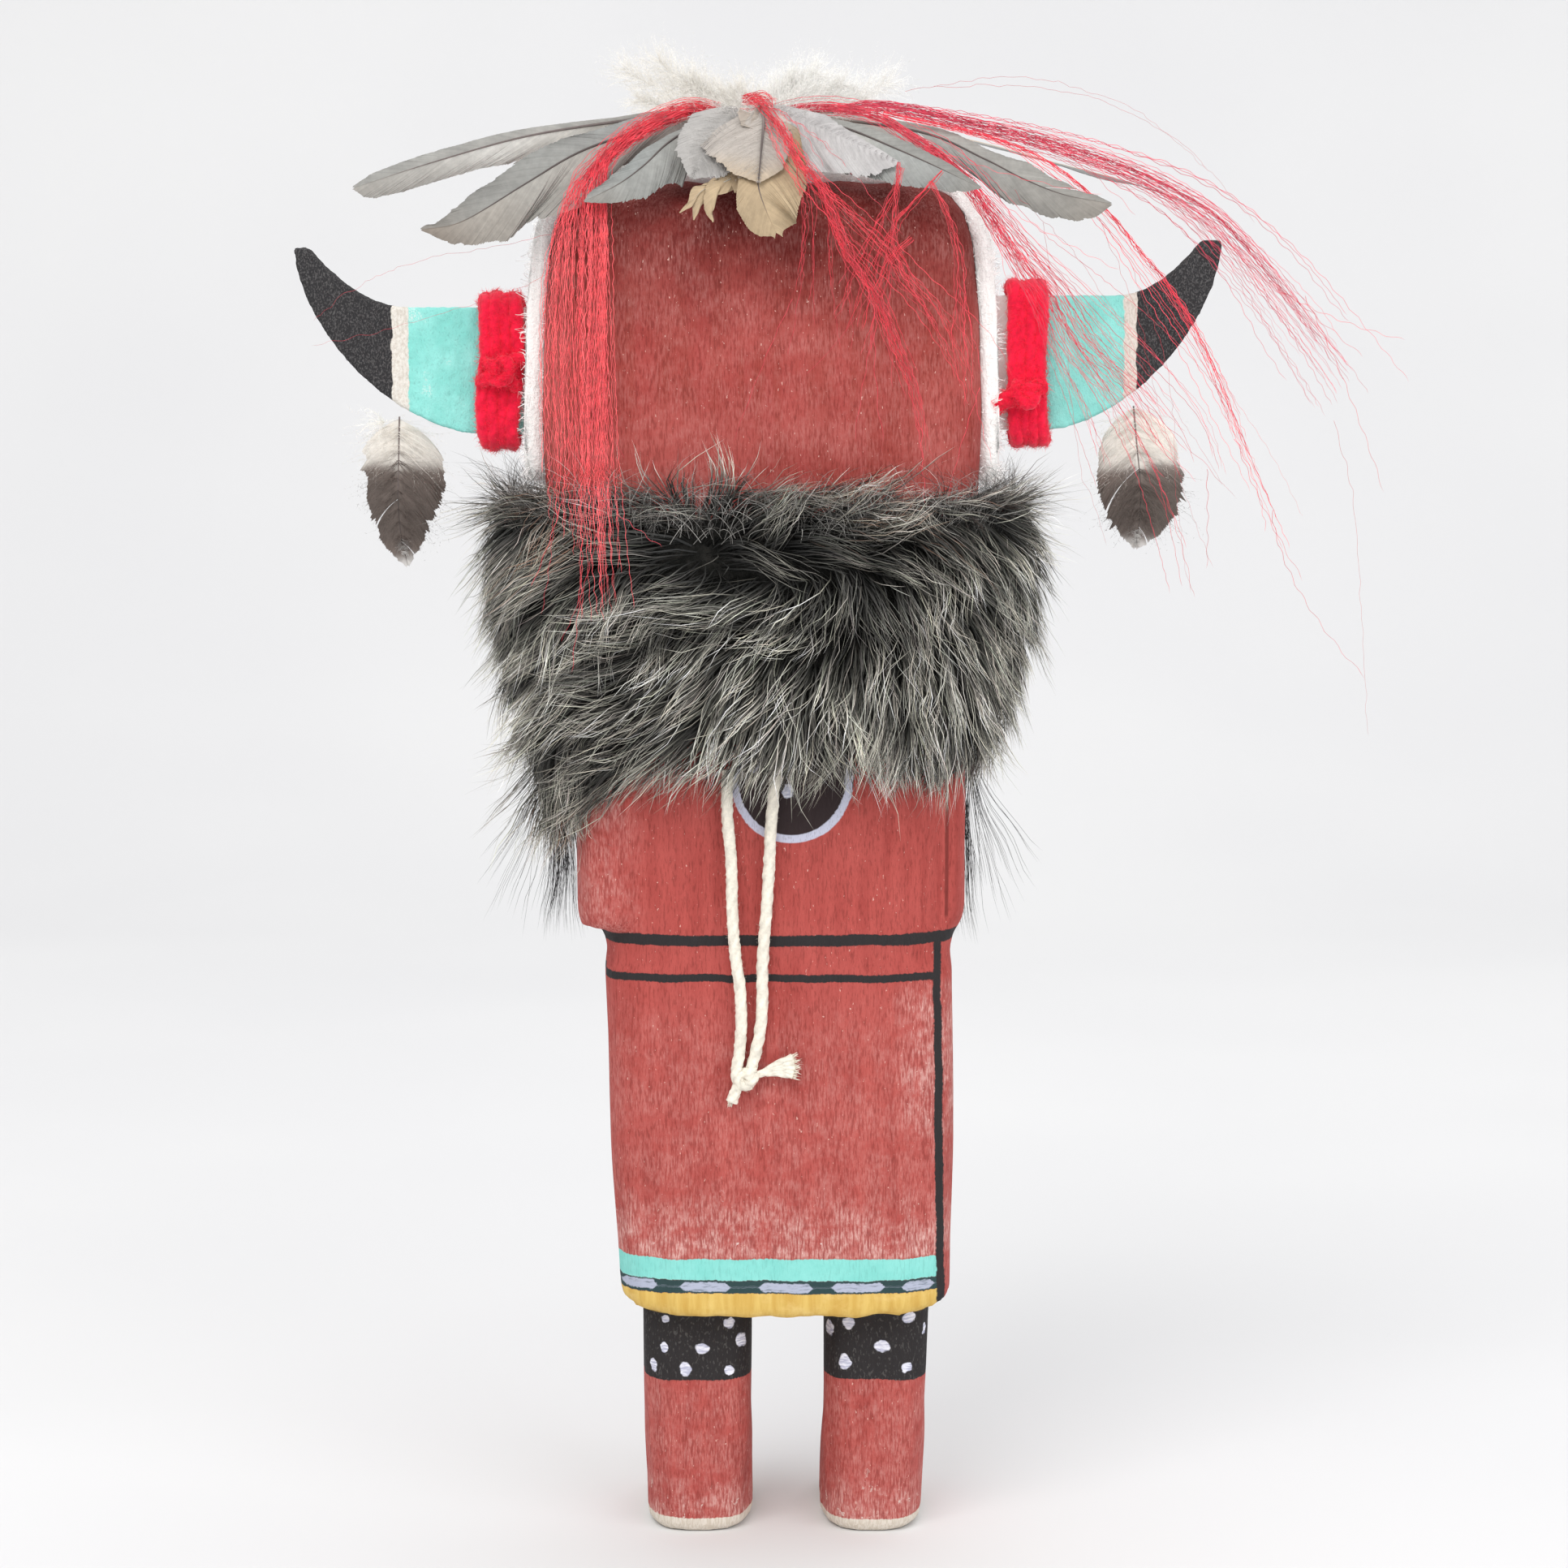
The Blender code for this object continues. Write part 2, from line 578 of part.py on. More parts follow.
def make_feathers(grey, cream):
    """Each spine is measured from the tie; widths run from the tie to the feather's tip."""
    blade = (0.0006, 0.0006, 0.0005, 0.0004, 0.0002)
    outward = (0.0, -0.85, 0.5)
    crown_piece(
        "feather_far_left", (-0.0040, -0.0010),
        ((-0.0100, -0.0030, -0.0008), (-0.0300, -0.0070, -0.0020), (-0.0525, -0.0110, -0.0056),
         (-0.0728, -0.0130, -0.0125), (-0.0820, -0.0140, -0.0165)),
        (0.0014, 0.0048, 0.0060, 0.0050, 0.0012), (0.0010, 0.0014, 0.0018, 0.0016, 0.0008),
        blade, (0.0, -0.90, -0.45), grey,
    )
    crown_piece(
        "feather_low_left", (-0.0040, -0.0034),
        ((-0.0130, -0.0056, -0.0026), (-0.0297, -0.0106, -0.0060), (-0.0423, -0.0140, -0.0119),
         (-0.0560, -0.0180, -0.0200), (-0.0672, -0.0200, -0.0250)),
        (0.0030, 0.0062, 0.0082, 0.0078, 0.0018), (0.0010, 0.0028, 0.0044, 0.0040, 0.0012),
        blade, outward, grey,
    )
    crown_piece(
        "feather_back_left", (-0.0030, -0.0060),
        ((-0.0075, -0.0105, -0.0014), (-0.0160, -0.0160, -0.0048), (-0.0263, -0.0240, -0.0140),
         (-0.0345, -0.0280, -0.0186)),
        (0.0024, 0.0080, 0.0084, 0.0052, 0.0010), (0.0008, 0.0012, 0.0036, 0.0030, 0.0008),
        blade, outward, grey,
    )
    crown_piece(
        "feather_scrap", (-0.0010, -0.0080),
        ((-0.0030, -0.0200, -0.0050), (-0.0076, -0.0270, -0.0150), (-0.0112, -0.0290, -0.0225)),
        (0.0008, 0.0022, 0.0036, 0.0012), (0.0008, 0.0020, 0.0034, 0.0012),
        (0.0005, 0.0005, 0.0004, 0.0002), (0.0, -1.0, 0.0), cream,
    )
    crown_piece(
        "feather_spoon", (0.0010, -0.0080),
        ((0.0012, -0.0190, -0.0053), (0.0010, -0.0280, -0.0146), (0.0026, -0.0300, -0.0255)),
        (0.0008, 0.0030, 0.0062, 0.0030), (0.0008, 0.0030, 0.0062, 0.0030),
        (0.0006, 0.0006, 0.0005, 0.0002), (0.0, -1.0, 0.1), cream,
    )
    crown_piece(
        "feather_back_right", (0.0030, -0.0060),
        ((0.0080, -0.0105, -0.0020), (0.0158, -0.0150, -0.0038), (0.0302, -0.0230, -0.0105),
         (0.0425, -0.0265, -0.0160)),
        (0.0008, 0.0010, 0.0024, 0.0024, 0.0008), (0.0030, 0.0076, 0.0080, 0.0056, 0.0010),
        blade, outward, grey,
    )
    crown_piece(
        "feather_long_right", (0.0040, -0.0034),
        ((0.0132, -0.0045, -0.0004), (0.0302, -0.0080, -0.0036), (0.0420, -0.0110, -0.0080),
         (0.0560, -0.0140, -0.0145), (0.0690, -0.0160, -0.0200)),
        (0.0010, 0.0022, 0.0026, 0.0024, 0.0010), (0.0030, 0.0060, 0.0072, 0.0058, 0.0012),
        blade, outward, grey,
    )
    crown_piece(
        "feather_edge_right", (0.0044, -0.0008),
        ((0.0110, 0.0020, 0.0008), (0.0265, 0.0040, 0.0000), (0.0506, 0.0050, -0.0074),
         (0.0750, 0.0055, -0.0136), (0.0870, 0.0055, -0.0174)),
        (0.0010, 0.0020, 0.0024, 0.0020, 0.0008), (0.0020, 0.0044, 0.0052, 0.0040, 0.0010),
        blade, (0.0, -0.15, 1.0), grey,
    )


def make_down(material):
    """White downy plumes that stand up and outwards behind the tie."""
    soft = (0.0012, 0.0042, 0.0056, 0.0034, 0.0006)
    thin = (0.0010, 0.0026, 0.0032, 0.0022, 0.0004)
    crown_piece(
        "down_left", (-0.0020, 0.0022),
        ((-0.0050, 0.0050, 0.0020), (-0.0110, 0.0070, 0.0058), (-0.0185, 0.0085, 0.0072),
         (-0.0265, 0.0090, 0.0088), (-0.0325, 0.0090, 0.0106)),
        soft, soft, thin, (0.0, -1.0, 0.0), material,
    )
    crown_piece(
        "down_right", (0.0020, 0.0022),
        ((0.0050, 0.0050, 0.0022), (0.0110, 0.0070, 0.0066), (0.0190, 0.0085, 0.0080),
         (0.0265, 0.0090, 0.0082), (0.0315, 0.0090, 0.0098)),
        soft, soft, thin, (0.0, -1.0, 0.0), material,
    )


def make_hair(material):
    """Horsehair bundles laid over the feathers, each fanning out towards its thin end."""
    bundles = (
        ("hair_left", ((-0.0132, -0.0098, 0.0008), (-0.0247, -0.0142, -0.0048),
                       (-0.0312, -0.0180, -0.0106), (-0.0349, -0.0210, -0.0162),
                       (-0.0365, -0.0244, -0.0230), (-0.0371, -0.0248, -0.0480),
                       (-0.0366, -0.0260, -0.0690), (-0.0356, -0.0350, -0.0755),
                       (-0.0338, -0.0400, -0.0905), (-0.0314, -0.0420, -0.1000)),
         (0.0022, 0.0030, 0.0058, 0.0066, 0.0060, 0.0040, 0.0008),
         (0.0021, 0.0018, 0.0011, 0.0010, 0.0010, 0.0010, 0.0004)),
        ("hair_middle", ((0.0004, -0.0130, -0.0004), (0.0037, -0.0215, -0.0045),
                         (0.0069, -0.0290, -0.0099), (0.0089, -0.0325, -0.0155),
                         (0.0116, -0.0310, -0.0257), (0.0164, -0.0270, -0.0368),
                         (0.0221, -0.0248, -0.0512), (0.0265, -0.0250, -0.0640),
                         (0.0296, -0.0285, -0.0712)),
         (0.0014, 0.0016, 0.0030, 0.0052, 0.0060, 0.0050, 0.0010),
         (0.0012, 0.0011, 0.0009, 0.0008, 0.0008, 0.0008, 0.0003)),
        ("hair_right", ((0.0045, -0.0100, 0.0014), (0.0150, -0.0115, 0.0006), (0.0230, -0.0150, -0.0018),
                        (0.0290, -0.0186, -0.0046), (0.0340, -0.0200, -0.0088), (0.0388, -0.0200, -0.0125),
                        (0.0425, -0.0190, -0.0180), (0.0492, -0.0165, -0.0316),
                        (0.0640, -0.0130, -0.0540), (0.0760, -0.0105, -0.0690),
                        (0.0880, -0.0080, -0.0950)),
         (0.0013, 0.0015, 0.0013, 0.0012, 0.0012, 0.0010, 0.0003),
         (0.0012, 0.0013, 0.0012, 0.0011, 0.0011, 0.0009, 0.0003)),
        ("hair_outer", ((0.0222, -0.0040, 0.0026), (0.0400, -0.0050, -0.0014), (0.0644, -0.0052, -0.0084),
                        (0.0794, -0.0042, -0.0148), (0.0894, -0.0030, -0.0184),
                        (0.1030, -0.0010, -0.0295), (0.1133, 0.0, -0.0426), (0.1240, 0.0010, -0.0600)),
         (0.0012, 0.0014, 0.0014, 0.0015, 0.0015, 0.0012, 0.0003),
         (0.0012, 0.0012, 0.0012, 0.0013, 0.0013, 0.0010, 0.0003)),
        ("hair_side", ((0.0300, -0.0085, 0.0006), (0.0440, -0.0100, -0.0040), (0.0591, -0.0115, -0.0104),
                       (0.0697, -0.0120, -0.0202), (0.0805, -0.0110, -0.0331),
                       (0.0890, -0.0100, -0.0461), (0.0976, -0.0080, -0.0625),
                       (0.1063, -0.0060, -0.0806), (0.1117, -0.0040, -0.0923)),
         (0.0008, 0.0010, 0.0010, 0.0010, 0.0012, 0.0009, 0.0003),
         (0.0008, 0.0009, 0.0009, 0.0009, 0.0010, 0.0008, 0.0003)),
    )
    for name, spine, half_w, half_t in bundles:
        path = [tie + Vector(point) for point in spine]
        mesh = sweep(name, path, half_w, half_w, half_t, (0.0, -1.0, 0.25), 18, 6)
        place(name, mesh, model, material)


def make_pendant(side, horn, material):
    """A small soft feather hanging by its quill from the horn's lower edge."""
    start_x, way = horn_root(side)
    band = horn["reach"] * PENDANT_SHARE[side]
    inner = band - QUILL_R - GAP
    share = (inner - HORN_LOW_STRAIGHT) / (horn["reach"] - HORN_LOW_STRAIGHT)
    turn = math.asin(share ** (1 / HORN_BOW))
    edge_z = horn["base_z"] + horn_edge_rise(horn, turn) - 2 * GAP - HORN_EDGE
    top = Vector((start_x + way * band, 0.0, edge_z - 0.0004))
    drops = [PENDANT_LENGTH * share for share in (0.0, 0.14, 0.41, 0.76, 1.0)]
    spine = [top + Vector((0.0, 0.0, -drop)) for drop in drops]
    wide = [PENDANT_HALF_W * share for share in (0.06, 0.71, 1.0, 0.98, 0.71, 0.08)]
    thick = (0.0006, 0.0014, 0.0016, 0.0014, 0.0010, 0.0004)
    name = "pendant_" + side
    place(name, sweep(name, spine, wide, wide, thick, (0.0, -1.0, 0.0), 12, 8), model, material)


def make_beard(material):
    """A thin curtain of long hair under the ruff in front, wider than the torso at its ends."""
    front_y = KILT_HALF_D + BEARD_OUT
    columns = 8
    levels = ((-GAP - 0.0006, 0.62), (-0.0100, 0.79), (-0.0220, 0.93), (-0.0360, 1.0), (-0.0470, 0.93))
    sheet = bmesh.new()
    rows = []
    for drop, wide in levels:
        row = []
        for step in range(columns + 1):
            x = wide * BEARD_HALF_W * (2 * step / columns - 1)
            y = front_y - 0.0110 * (x / BEARD_HALF_W) ** 2
            row.append(sheet.verts.new((HEAD_X + x, y, RUFF_BOTTOM_Z + drop)))
        rows.append(row)
    for high, low in zip(rows, rows[1:]):
        for step in range(columns):
            sheet.faces.new((high[step], high[step + 1], low[step + 1], low[step]))
    mesh = bpy.data.meshes.new("beard")
    sheet.to_mesh(mesh)
    sheet.free()
    smooth(mesh)
    beard = place("beard", mesh, model, material)
    solidify = beard.modifiers.new("thickness", "SOLIDIFY")
    solidify.thickness = BEARD_THICK
    solidify.offset = 0.0


# Cord

CORD_LEFT_ROUTE = (
    (-0.0113, 0.1602), (-0.0115, 0.1560), (-0.0114, 0.1500), (-0.0108, 0.1435), (-0.0106, 0.1380),
    (-0.0105, 0.1320), (-0.0102, 0.1260), (-0.0096, 0.1205), (-0.0089, 0.1160), (-0.0087, 0.1115),
    (-0.0087, 0.1070), (-0.0090, 0.1030), (-0.0095, 0.0995),
)
CORD_RIGHT_ROUTE = (
    (-0.0015, 0.1608), (-0.0021, 0.1550), (-0.0026, 0.1490), (-0.0029, 0.1430), (-0.0032, 0.1370),
    (-0.0036, 0.1310), (-0.0041, 0.1250), (-0.0044, 0.1190), (-0.0044, 0.1135), (-0.0046, 0.1090),
    (-0.0052, 0.1050), (-0.0059, 0.1020), (-0.0065, 0.0995),
)


def make_cord(name, route, material):
    """A plain tube along one strand of the twine."""
    points = [(x, CORD_Y, z) for x, z in route]
    length = sum((Vector(a) - Vector(b)).length for a, b in zip(points, points[1:]))
    path = curve_through(points, max(round(length / CORD_STEP) + 1, 4))
    data = bpy.data.curves.new(name, "CURVE")
    data.dimensions = "3D"
    data.bevel_depth = CORD_R
    data.bevel_resolution = 2
    data.use_fill_caps = True
    spline = data.splines.new("POLY")
    spline.points.add(len(path) - 1)
    for point, spot in zip(spline.points, path):
        point.co = (*spot, 1.0)
    data.materials.append(material)
    item = bpy.data.objects.new(name, data)
    model.objects.link(item)
    item.parent = root


def make_knot(material):
    """The knot below both strands, with a short tail and a flared, frayed one."""
    low = min(CORD_LEFT_ROUTE[-1][1], CORD_RIGHT_ROUTE[-1][1])
    middle_x = (CORD_LEFT_ROUTE[-1][0] + CORD_RIGHT_ROUTE[-1][0]) / 2
    middle = Vector((middle_x, CORD_Y - 0.0003, low - GAP - KNOT_HALF_H))
    mesh = ball("cord_knot", middle, (KNOT_HALF_W, CORD_R, KNOT_HALF_H))
    knot = place("cord_knot", mesh, model, material)
    steps = ((-0.0010, 0.0, 0.0), (-0.0020, 0.0, -0.0028), (-0.0027, 0.0, -0.0050))
    short = [middle + Vector(step) for step in steps]
    half = (0.9 * CORD_R, CORD_R, CORD_R)
    tail = sweep("cord_tail_short", short, half, half, half, (0.0, -1.0, 0.0), 4, 8)
    combine(knot, place(tail.name, tail, cutters), "UNION")
    steps = ((0.0010, 0.0, 0.0004), (0.0050, 0.0, 0.0014), (0.0110, 0.0, 0.0030))
    frayed = [middle + Vector(step) for step in steps]
    wide = (0.0009, 0.0011, 0.0017, 0.0025)
    flat = (0.0009, 0.0009, 0.0008, 0.0007)
    tail = sweep("cord_tail_frayed", frayed, wide, wide, flat, (0.0, -1.0, 0.0), 5, 8)
    combine(knot, place(tail.name, tail, cutters), "UNION")


def centre_on_box():
    """Moves the root so that the origin lies under the middle of everything but the cord."""
    bpy.context.view_layer.update()
    scene_now = bpy.context.evaluated_depsgraph_get()
    low = Vector((math.inf,) * 3)
    high = -low
    for item in model.objects:
        if item.type != "MESH" or item.name.startswith("cord"):
            continue
        shown = item.evaluated_get(scene_now)
        for vert in shown.data.vertices:
            spot = shown.matrix_world @ vert.co
            low = Vector(map(min, low, spot))
            high = Vector(map(max, high, spot))
    root.location = (-(low.x + high.x) / 2, -(low.y + high.y) / 2, -low.z)


clear_scene()
model = make_collection(MODEL_NAME)
cutters = make_collection(CUTTER_NAME)
root = bpy.data.objects.new(ROOT_NAME, None)
model.objects.link(root)

red_wood = paint("red_wood", (0.32, 0.07, 0.05), 0.75)
fleece = paint("white_fleece", (0.85, 0.82, 0.78), 0.95)
dark_fur = paint("dark_fur", (0.06, 0.06, 0.05), 0.9)
turquoise = paint("turquoise_paint", (0.10, 0.62, 0.52), 0.7)
red_yarn = paint("red_yarn", (0.60, 0.01, 0.02), 0.9)
grey_feather = paint("grey_feather", (0.32, 0.33, 0.34), 0.6)
cream_feather = paint("cream_feather", (0.62, 0.56, 0.45), 0.7)
white_down = paint("white_down", (0.80, 0.77, 0.72), 0.95)
red_hair = paint("red_hair", (0.55, 0.02, 0.04), 0.5)
black_hair = paint("black_hair", (0.02, 0.02, 0.02), 0.5)
twine = paint("cotton_twine", (0.78, 0.74, 0.64), 0.9)

make_figure(red_wood)
body_rooms = make_clearances()
root_rooms = []
for which, sizes in (("left", HORN_LEFT), ("right", HORN_RIGHT)):
    make_horn(which, sizes, turquoise)
    root_rooms.append(make_root_room(which, sizes))
    make_yarn(which, sizes, root_rooms[-1], red_yarn)
    make_pendant(which, sizes, cream_feather)
make_head_fur(body_rooms, root_rooms, fleece)
make_ruff(body_rooms, dark_fur)
make_feathers(grey_feather, cream_feather)
make_down(white_down)
make_hair(red_hair)
make_beard(black_hair)
make_cord("cord_left", CORD_LEFT_ROUTE, twine)
make_cord("cord_right", CORD_RIGHT_ROUTE, twine)
make_knot(twine)
centre_on_box()
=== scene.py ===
"""The looks of a carved and painted doll with horns, fur, feathers and horsehair, seen from behind.

Every piece is modelled in the doll's own frame, in metres: x from the middle between the feet, heights
from the soles, the back towards -Y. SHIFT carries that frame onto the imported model's.
"""
import math

import bmesh
import bpy
import numpy as np
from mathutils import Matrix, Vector
from mathutils.bvhtree import BVHTree
from mathutils.kdtree import KDTree


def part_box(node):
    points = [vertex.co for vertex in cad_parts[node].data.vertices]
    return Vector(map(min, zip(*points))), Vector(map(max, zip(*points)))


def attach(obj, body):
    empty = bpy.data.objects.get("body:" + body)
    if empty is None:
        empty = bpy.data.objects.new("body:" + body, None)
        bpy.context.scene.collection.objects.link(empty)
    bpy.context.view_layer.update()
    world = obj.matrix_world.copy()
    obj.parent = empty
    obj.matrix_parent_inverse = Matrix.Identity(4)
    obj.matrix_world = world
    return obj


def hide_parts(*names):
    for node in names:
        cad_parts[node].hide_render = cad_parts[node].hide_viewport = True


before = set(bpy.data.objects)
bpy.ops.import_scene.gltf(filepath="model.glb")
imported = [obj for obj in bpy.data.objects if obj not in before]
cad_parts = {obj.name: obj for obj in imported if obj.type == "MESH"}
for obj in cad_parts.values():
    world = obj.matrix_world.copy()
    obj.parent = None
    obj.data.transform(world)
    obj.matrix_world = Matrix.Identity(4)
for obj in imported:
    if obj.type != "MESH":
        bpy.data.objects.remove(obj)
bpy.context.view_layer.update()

# Places in the doll's frame that the part's own sizes give
HEAD_X = -0.0045
HEAD_BACK_Y = -0.0220
HEAD_TOP_EDGE = 0.274
TIE = np.array((HEAD_X, 0.0, 0.2925))
CORD_Y = -0.0219
CORD_DIAMETER = 0.0024
MM = 0.001
# Pile and hair that reach further front or back than this are laid flatter, to this share of what goes past it
PILE_DEPTH = 0.0435
PILE_EASE = 0.42

# How fine the meshes are: the size of a voxel, and how many hairs or barbs a piece has
FIGURE_VOXEL = 1.18 * MM
HORN_VOXEL = 0.50 * MM
RUFF_HAIRS = 45000
RUFF_LOCKS = 1250
LOOSE_HAIRS = 2600
FLEECE_HAIRS = 18000
BEARD_HAIRS = 720
WINDING_FUZZ, KNOT_FUZZ = 2400, 900
BARBS, SCRAP_BARBS, HUB_BARBS, PENDANT_BARBS = 310, 170, 190, 230
# How far the hides lie inside the solids of the fur, and the largest share of a place's thickness that a hide's
# depth or a hair's root may take
RUFF_HIDE_DEPTH = 9.5 * MM
FLEECE_HIDE_DEPTH = -0.25 * MM
HIDE_SHARE = 0.40
# How much light the short white pile gives of its own, in place of what real pile scatters between its hairs
FLEECE_GLOW = 0.13

figure_low, figure_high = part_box("figure")
SHIFT = Vector(((figure_low.x + figure_high.x) / 2 - HEAD_X, figure_low.y - HEAD_BACK_Y, figure_low.z))


# Small helpers for arrays of points

def unit(vectors):
    return vectors / np.maximum(np.linalg.norm(vectors, axis=-1, keepdims=True), 1e-12)


def mix(a, b, share):
    return a + (b - a) * share


def step(low, high, value):
    """A smooth rise from 0 at low to 1 at high."""
    t = np.clip((value - low) / (high - low), 0.0, 1.0)
    return t * t * (3 - 2 * t)


def bump(value, middle, width):
    return np.exp(-((value - middle) / width) ** 2)


def drift(points, size, seed, waves=8):
    """A smooth random field, about -1 to 1, whose features are about size across."""
    rng = np.random.default_rng(seed)
    ways = unit(rng.normal(size=(waves, 3)))
    pitch = rng.uniform(0.6, 1.7, waves) * math.tau / size
    phase = rng.uniform(0, math.tau, waves)
    return np.sin(points @ ways.T * pitch + phase).sum(-1) / math.sqrt(waves / 1.2)


def curve_through(points, count):
    """Evenly numbered points on a smooth curve through the given ones."""
    points = np.asarray(points, float)
    ends = np.vstack((2 * points[0] - points[1], points, 2 * points[-1] - points[-2]))
    at = np.minimum(np.linspace(0, len(points) - 1, count), len(points) - 1 - 1e-9)
    index = at.astype(int)
    t = (at - index)[:, None]
    a, b, c, d = (ends[index + k] for k in range(4))
    return b + 0.5 * ((c - a) * t + (2 * a - 5 * b + 4 * c - d) * t ** 2 + (3 * b - a - 3 * c + d) * t ** 3)


def curve_from(start, places, count):
    """A smooth curve through places given in mm from a start."""
    return curve_through([start + np.array(place) * MM for place in places], count)


def even(points, count):
    """The same line with its points at even distances."""
    lengths = np.concatenate(((0.0,), np.linalg.norm(np.diff(points, axis=0), axis=1).cumsum()))
    want = np.linspace(0, lengths[-1], count)
    return np.stack([np.interp(want, lengths, points[:, k]) for k in range(3)], axis=1)


def frames(path, reference):
    """The direction along a path and two directions across it, at every point."""
    along = unit(np.gradient(path, axis=-2))
    side = unit(np.cross(np.broadcast_to(reference, path.shape), along))
    return along, side, np.cross(along, side)


def random_side(line, rng):
    """A direction across each strand, turned at random round it."""
    return frames(line, unit(rng.normal(size=(len(line), 1, 3))))[1]


def values_at(values, share):
    """Reads a short list of values at shares of its length, smoothly."""
    at = np.asarray(share) * (len(values) - 1)
    index = np.minimum(at.astype(int), len(values) - 2)
    t = at - index
    t = t * t * (3 - 2 * t)
    values = np.asarray(values, float)
    return values[index] * (1 - t) + values[index + 1] * t


# Meshes

class Batch:
    """Collects many fibres, tubes and sheets and makes one mesh of them."""

    def __init__(self):
        self.points, self.tints, self.faces = [], [], {3: [], 4: []}
        self.count = 0

    def add(self, points, tints, *faces):
        """Points and tints are lists of triples. Each faces array has 3 or 4 corners a row."""
        points = np.reshape(points, (-1, 3))
        self.points.append(points)
        self.tints.append(np.broadcast_to(tints, points.shape) if np.ndim(tints) == 1
                          else np.reshape(tints, (-1, 3)))
        for rows in faces:
            if len(rows):
                self.faces[rows.shape[-1]].append(np.reshape(rows, (-1, rows.shape[-1])) + self.count)
        self.count += len(points)

    def ribbons(self, path, half, side, tint):
        """Flat tapering strands. All arrays start with (strand, point)."""
        strands, points = path.shape[:2]
        half = half[..., None]
        pairs = np.stack((path - side * half, path + side * half), axis=2)[:, :-1].reshape(strands, -1, 3)
        verts = np.concatenate((pairs, path[:, -1:]), axis=1)
        tints = np.concatenate((np.repeat(tint[:, :-1], 2, axis=1), tint[:, -1:]), axis=1)
        base = (np.arange(strands) * (2 * points - 1))[:, None]
        rows = 2 * np.arange(points - 2)[None]
        quads = np.stack((base + rows, base + rows + 1, base + rows + 3, base + rows + 2), axis=-1)
        last = base + 2 * points - 4
        tips = np.stack((last, last + 1, last + 2), axis=-1)
        self.add(verts, tints, quads, tips)

    def tubes(self, path, half, tint, reference=(0.31, 0.17, 0.93), sides=3):
        """Round tapering strands, closed to a point at the far end."""
        strands, points = path.shape[:2]
        _, side, out = frames(path, np.asarray(reference))
        turns = math.tau * np.arange(sides) / sides
        rim = side[:, :-1, None] * np.cos(turns)[:, None] + out[:, :-1, None] * np.sin(turns)[:, None]
        rings = path[:, :-1, None] + rim * half[:, :-1, None, None]
        verts = np.concatenate((rings.reshape(strands, -1, 3), path[:, -1:]), axis=1)
        tints = np.concatenate((np.repeat(tint[:, :-1], sides, axis=1), tint[:, -1:]), axis=1)
        base = (np.arange(strands) * (sides * (points - 1) + 1))[:, None, None]
        rows = sides * np.arange(points - 2)[None, :, None]
        turn = np.arange(sides)[None, None]
        after = (turn + 1) % sides
        quads = np.stack((base + rows + turn, base + rows + after,
                          base + rows + sides + after, base + rows + sides + turn), axis=-1)
        last = base + sides * (points - 2)
        tips = np.stack((last + turn, last + after, np.broadcast_to(last + sides, (strands, 1, sides))), axis=-1)
        self.add(verts, tints, quads, tips)

    def grid(self, points, tint, closed=False):
        """A sheet through rows of points. closed joins each row's end to its start."""
        rows, columns = points.shape[:2]
        index = np.arange(rows * columns).reshape(rows, columns)
        after = np.roll(index, -1, axis=1) if closed else index[:, 1:]
        index = index if closed else index[:, :-1]
        quads = np.stack((index[:-1], after[:-1], after[1:], index[1:]), axis=-1)
        self.add(points, tint, quads)

    def mesh(self, name, smooth=True):
        mesh = bpy.data.meshes.new(name)
        points = np.concatenate(self.points)
        mesh.vertices.add(len(points))
        mesh.vertices.foreach_set("co", points.astype(np.float32).ravel())
        faces = [np.concatenate(rows) for rows in self.faces.values() if rows]
        corners = np.concatenate([rows.ravel() for rows in faces])
        sizes = np.concatenate([np.full(len(rows), rows.shape[1]) for rows in faces])
        mesh.loops.add(len(corners))
        mesh.loops.foreach_set("vertex_index", corners.astype(np.int32))
        mesh.polygons.add(len(sizes))
        mesh.polygons.foreach_set("loop_start", (sizes.cumsum() - sizes).astype(np.int32))
        mesh.update(calc_edges=True)
        if smooth:
            mesh.shade_smooth()
        tint = mesh.color_attributes.new("tint", "FLOAT_COLOR", "POINT")
        colours = np.ones((len(points), 4), np.float32)
        colours[:, :3] = np.clip(np.concatenate(self.tints), 0.0, 1.0)
        tint.data.foreach_set("color", colours.ravel())
        return mesh


def add_object(name, data):
    item = bpy.data.objects.new(name, data)
    bpy.context.scene.collection.objects.link(item)
    return item


def put(name, mesh, material, slot, *nodes):
    """Places a piece in the model, on the doll's one body, instead of the named solids."""
    points, _ = read_points(mesh)
    depth = points[:, 1] + SHIFT.y
    past = np.maximum(np.abs(depth) - PILE_DEPTH, 0.0)
    if past.any():
        points[:, 1] -= np.sign(depth) * (1 - PILE_EASE) * past
        write_points(mesh, points)
    item = add_object(name, mesh)
    item.location = SHIFT
    mesh.materials.clear()
    mesh.materials.append(material)
    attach(item, "root")
    if nodes:
        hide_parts(*nodes)
    return item


def solid(node):
    """A node's solid as a bmesh in the doll's frame, its facets' corners joined."""
    shell = bmesh.new()
    shell.from_mesh(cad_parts[node].data)
    bmesh.ops.remove_doubles(shell, verts=shell.verts, dist=0.01 * MM)
    bmesh.ops.translate(shell, verts=shell.verts, vec=-SHIFT)
    bmesh.ops.triangulate(shell, faces=shell.faces)
    shell.normal_update()
    return shell


